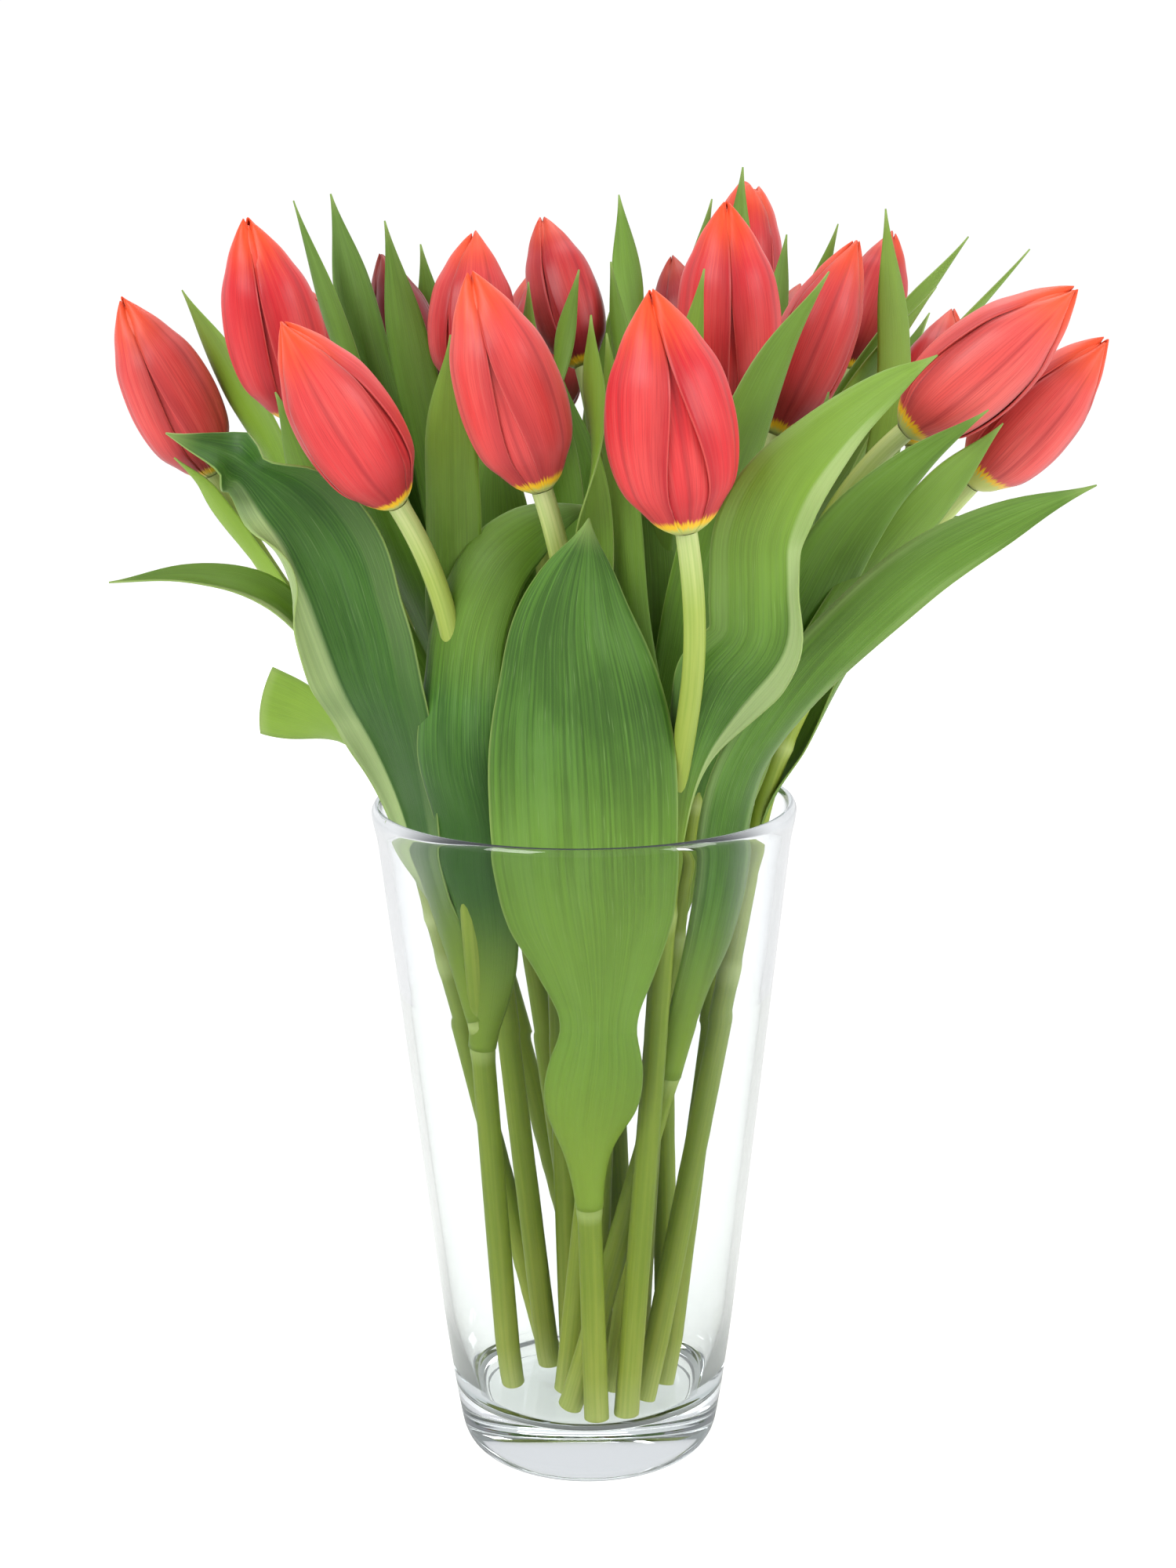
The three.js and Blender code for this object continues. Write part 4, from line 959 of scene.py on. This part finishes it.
def makeStem(tulip, line):
    sizes = stemSizes
    line = evenly(line, sizes["rings"])
    line[0].z += sizes["footLift"]
    top = line[-1].z
    joints = [leaf["root"] for leaf in tulip["leaves"]]
    rise, thick, joint = [], [], []
    for point in line:
        share = (point.z - sizes["footHeight"]) / (top - sizes["footHeight"])
        near = max(math.exp(-((point.z - height) / sizes["jointReach"]) ** 2) for height in joints)
        rise.append(share)
        joint.append(near)
        radius = lerp(sizes["footRadius"], sizes["topRadius"], share) + near * sizes["joint"]
        thick.append(radius * mm)
    source = lineMesh(line, {"rise": rise, "thick": thick, "joint": joint})
    return grow(stemShape, source, {"Sides": sizes["sides"], "Material": materials["stem"]})


def makeLeaf(leaf, line, seed):
    sizes = leafSizes
    leaf = {**leafDefaults, **leaf}
    halves = leaf["halves"]
    clasps = halves[0] > stemSizes["footRadius"]
    root = stemPoint(line, leaf["root"])
    if clasps:
        root = root + polar(halves[0] / sizes["sheathCup"], leaf["across"][0] - 90)
    path = centripetal([root, *(Vector(point) for point in leaf["path"])])
    spine = evenly(path, sizes["rings"])
    across, half, cup = [], [], []
    for index in range(len(spine)):
        share = index / (len(spine) - 1)
        turn = math.radians(smoothAlong(leaf["across"], share))
        tilt = math.radians(smoothAlong(leaf["tilt"], share))
        across.append(Vector((
            math.cos(turn) * math.cos(tilt), math.sin(turn) * math.cos(tilt), math.sin(tilt))))
        opened = smoothStep(share, 0, sizes["sheathLength"]) if clasps else 1
        arch = lerp(sizes["sheathCup"], smoothAlong(leaf["cup"], share), opened)
        cup.append(sizes["leastCup"] if abs(arch) < sizes["leastCup"] else arch)
        half.append(max(smoothAlong(halves, share), bladeTip) * mm)
    height, count, start = leaf["wave"]
    left, right, rollFrom = leaf["roll"]
    # the light and shade painted on the leaf at its root and tip, partly its own tone
    glow = leaf["glow"]
    glow = glow if isinstance(glow, tuple) else (glow, glow + sizes["tipGlow"])
    broad = max(halves) > sizes["broad"]
    source = lineMesh(spine, {"half": half, "cup": cup, "across": across})
    return grow(leafShape, source, {
        "Rows": sizes["rows"][broad], "Columns": sizes["columns"][broad],
        "Wave Height": height * mm, "Wave Count": count, "Wave Start": start,
        "Edge Wave": sizes["edgeWave"][broad] * mm, "Roll Left": left, "Roll Right": right,
        "Roll From": rollFrom, "Root Light": glow[0], "Tip Light": glow[1], "Seed": seed,
        "Material": materials["leaf"],
    }, sizes["thickness"] * mm)


def makePetals(tulip, seed, row):
    sizes = bloomSizes
    tulip = {**tulipDefaults, **tulip}
    base = Vector(tulip["base"]) * mm
    axis = Vector(tulip["tip"]) * mm - base
    outer = row == "outer"
    petals = grow(petalShape, bpy.data.meshes.new("empty"), {
        "Rows": sizes["rows"], "Columns": sizes["columns"], "Count": sizes["count"],
        "Length": axis.length, "Half Width": tulip["width"] / 2 * mm, "Open": tulip["open"],
        "Turn": tulip["turn"] + (0 if outer else petalAngle), "Gap": tulip["gap"] if outer else 0,
        "Dusk": tulip["dusk"], "Gold": tulip["gold"], "Blush": tulip["blush"], "Seed": seed,
        "Material": materials["petal"], **sizes[row],
    }, sizes["thickness"] * mm)
    turn = Vector((0, 0, 1)).rotation_difference(axis).to_matrix().to_4x4()
    petals.transform(Matrix.Translation(base) @ turn)
    return petals


def onePiece(name, meshes):
    # joins meshes into one piece at the origin
    objects = [bpy.data.objects.new(name, mesh) for mesh in meshes]
    for obj in objects:
        scene.collection.objects.link(obj)
    with bpy.context.temp_override(
            active_object=objects[0], selected_editable_objects=objects, selected_objects=objects):
        bpy.ops.object.join()
    piece = objects[0]
    piece.name = name
    return piece


def putInFrame(piece, slot, *nodes):
    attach(piece, "root")
    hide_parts(*nodes)


for number, tulip in enumerate(tulips, 1):
    line = stemLine(tulip)
    blades = [makeLeaf(leaf, line, number * 10 + index) for index, leaf in enumerate(tulip["leaves"])]
    green = onePiece(f"stemAndLeaves{number:02d}", [makeStem(tulip, line), *blades])
    putInFrame(green, "stem_and_leaf", f"leafy_stem_{number:02d}")
    rows = [makePetals(tulip, number, row) for row in ("outer", "inner")]
    bloom = onePiece(f"petals{number:02d}", rows)
    putInFrame(bloom, "petal", f"bloom_{number:02d}")
print("tulips made:", len(tulips))

# outlines are pairs of radius and height: up the outside, over the lip, down inside to the corner
vaseSizes = {
    "wall": 3.2, "floor": 18, "water": 145, "sides": 160,
    "overlap": 0.15,  # how far the water reaches into the glass
    "outside": [(32, 0), (36.4, 1.3), (38.6, 5.4), (40.3, 15), (43.6, 38), (55.8, 148), (60.4, 189)],
    "lip": [(61.8, 195.5), (62, 198.2), (60.8, 200), (59.2, 199.4)],
    "inside": (189, 148, 38),  # heights of the inner wall's points
    "corner": [(36.6, 21.5), (34, 18)],
    "rounding": 12, "waterRounding": 2, "roundingSteps": 6,
}


def outsideRadius(height):
    outline = vaseSizes["outside"]
    for (lowRadius, low), (highRadius, high) in zip(outline, outline[1:]):
        if low <= height <= high:
            return lerp(lowRadius, highRadius, (height - low) / (high - low))


def rounded(points, reach):
    # an outline whose corners are cut back and bridged by a curve
    steps = vaseSizes["roundingSteps"]
    points = [Vector(point) for point in points]
    line = [points[0]]
    for before, corner, after in zip(points, points[1:], points[2:]):
        cut = min(reach, (before - corner).length / 2, (after - corner).length / 2)
        start = corner + (before - corner).normalized() * cut
        end = corner + (after - corner).normalized() * cut
        for step in range(steps + 1):
            t = step / steps
            line.append(start * (1 - t) ** 2 + corner * 2 * t * (1 - t) + end * t * t)
    return [*line, points[-1]]


def turnedPiece(name, outline, material):
    # an outline turned round the axis; its first and last points are on the axis
    sides = vaseSizes["sides"]
    rings = outline[1:-1]
    vertices = [Vector((0, 0, outline[0].y))]
    for ring in rings:
        vertices += [polar(ring.x, 360 * side / sides, ring.y) for side in range(sides)]
    vertices.append(Vector((0, 0, outline[-1].y)))
    last = len(vertices) - 1
    faces = []
    for side in range(sides):
        after = (side + 1) % sides
        faces.append((0, 1 + after, 1 + side))
        for ring in range(len(rings) - 1):
            low, high = 1 + ring * sides, 1 + (ring + 1) * sides
            faces.append((low + side, low + after, high + after, high + side))
        top = 1 + (len(rings) - 1) * sides
        faces.append((top + side, top + after, last))
    mesh = bpy.data.meshes.new(name)
    mesh.from_pydata([vertex * mm for vertex in vertices], [], faces)
    mesh.shade_smooth()
    mesh.materials.append(material)
    piece = bpy.data.objects.new(name, mesh)
    scene.collection.objects.link(piece)
    return piece


def makeVase():
    sizes = vaseSizes
    inside = [(outsideRadius(height) - sizes["wall"], height) for height in sizes["inside"]]
    outline = [(0, 0), *sizes["outside"], *sizes["lip"], *inside, *sizes["corner"], (0, sizes["floor"])]
    return turnedPiece("glassVase", rounded(outline, sizes["rounding"]), materials["glass"])


def makeWater():
    # its side lies just inside the glass, so that no film of air shows between them
    sizes = vaseSizes
    overlap = sizes["overlap"]
    rise = [(outsideRadius(height) - sizes["wall"] + overlap, height)
            for height in (sizes["inside"][-1], sizes["water"])]
    corner = [(radius + overlap, height - overlap) for radius, height in reversed(sizes["corner"])]
    outline = [(0, sizes["floor"] - overlap), *corner, *rise, (0, sizes["water"])]
    return turnedPiece("vaseWater", rounded(outline, sizes["waterRounding"]), materials["water"])


putInFrame(makeVase(), "clear_glass", "vase")
putInFrame(makeWater(), "water", "water")
print("vase and water made")

# the floor and the sky are white, but dim where gloss mirrors their front, which would veil the
# glass: each has where the dim front ends and the bright back starts, and how dim the back is
studio = {
    "floorSize": 6.0, "floorDrop": 0.1, "floorColour": (0.93, 0.93, 0.93, 1), "floorRoughness": 0.6,
    "floorGlow": 0.4, "floorInGloss": (0.12, 0.125, 0.13, 1), "floorFront": (-0.1, 0.12),
    "floorBehind": 0.2, "sky": 1.03, "skyOnMatt": 0.62, "skyInGloss": 0.35,
    "skyFront": (-0.1, 0.35), "skyBehind": 0.0, "aim": (0, 0, 0.2),
    "key": {"place": (-1.0, -1.1, 1.25), "size": 0.8, "power": 17},
    "fill": {"place": (1.2, -0.7, 0.8), "size": 0.7, "power": 9},
    "top": {"place": (0.1, 0.5, 1.6), "size": 1.0, "power": 9},
}
viewpoint = {
    "place": (1.2, -714, 362.2), "down": 12.48, "roll": -0.5, "lens": 57.6, "film": 36, "near": 10,
}


def mirroredFront(graph, coordinate, front, behind):
    # 1 for a mirrored ray that meets the dim front, from the Y of a texture coordinate
    spot = graph.add("ShaderNodeSeparateXYZ", None, {0: graph.add("ShaderNodeTexCoord")[coordinate]})
    dim = 1 - graph.step(spot["Y"], *front) * (1 - behind)
    return calc("GREATER_THAN", graph.add("ShaderNodeLightPath")["Glossy Depth"], 0.5) * dim


def makeFloor():
    half = studio["floorSize"] / 2
    corners = [(-half, -half), (half, -half), (half, half), (-half, half)]
    mesh = bpy.data.meshes.new("floor")
    mesh.from_pydata([(x, y, -studio["floorDrop"] * mm) for x, y in corners], [], [(0, 1, 2, 3)])
    material, graph, shader = newMaterial("floor", {
        "Base Color": studio["floorColour"], "Roughness": studio["floorRoughness"],
        "Emission Color": (1, 1, 1, 1), "Emission Strength": studio["floorGlow"],
    })
    dim = graph.add("ShaderNodeBsdfDiffuse", None, {"Color": studio["floorInGloss"]})
    seen = graph.add("ShaderNodeMixShader", None, {
        "Fac": mirroredFront(graph, "Object", studio["floorFront"], studio["floorBehind"]),
        1: Wire(graph, shader.outputs[0]), 2: dim,
    })
    graph.tree.links.new(seen.socket, graph.tree.nodes["Material Output"].inputs["Surface"])
    mesh.materials.append(material)
    floor = bpy.data.objects.new("floor", mesh)
    scene.collection.objects.link(floor)


def makeLamp(name):
    sizes = studio[name]
    lamp = bpy.data.lights.new(name, "AREA")
    lamp.size = sizes["size"]
    lamp.energy = sizes["power"]
    holder = bpy.data.objects.new(name, lamp)
    holder.location = sizes["place"]
    aim = Vector(studio["aim"]) - holder.location
    holder.rotation_euler = aim.to_track_quat("-Z", "Y").to_euler()
    scene.collection.objects.link(holder)


def makeSky():
    # dimmer where it lights matt surfaces
    world = bpy.data.worlds.new("studio")
    world.use_nodes = True
    world.cycles.sampling_method = "NONE"
    graph = Graph(world.node_tree)
    sky = world.node_tree.nodes["Background"]
    sky.inputs["Color"].default_value = (1, 1, 1, 1)
    matt = graph.add("ShaderNodeLightPath")["Is Diffuse Ray"] * (studio["sky"] - studio["skyOnMatt"])
    mirrored = mirroredFront(graph, "Generated", studio["skyFront"], studio["skyBehind"])
    strength = studio["sky"] - matt - mirrored * (studio["sky"] - studio["skyInGloss"])
    graph.tree.links.new(strength.socket, sky.inputs["Strength"])
    scene.world = world


def makeCamera():
    lens = bpy.data.cameras.new("camera")
    lens.sensor_fit = "VERTICAL"
    lens.sensor_height = viewpoint["film"]
    lens.lens = viewpoint["lens"]
    lens.clip_start = viewpoint["near"] * mm
    camera = bpy.data.objects.new("camera", lens)
    tilt = Matrix.Rotation(math.radians(90 - viewpoint["down"]), 4, "X")
    roll = Matrix.Rotation(math.radians(viewpoint["roll"]), 4, "Z")
    camera.matrix_world = Matrix.Translation(Vector(viewpoint["place"]) * mm) @ tilt @ roll
    scene.collection.objects.link(camera)
    scene.camera = camera


makeFloor()
for name in ("key", "fill", "top"):
    makeLamp(name)
makeSky()
makeCamera()
scene.view_settings.view_transform = "Standard"
print("studio made")
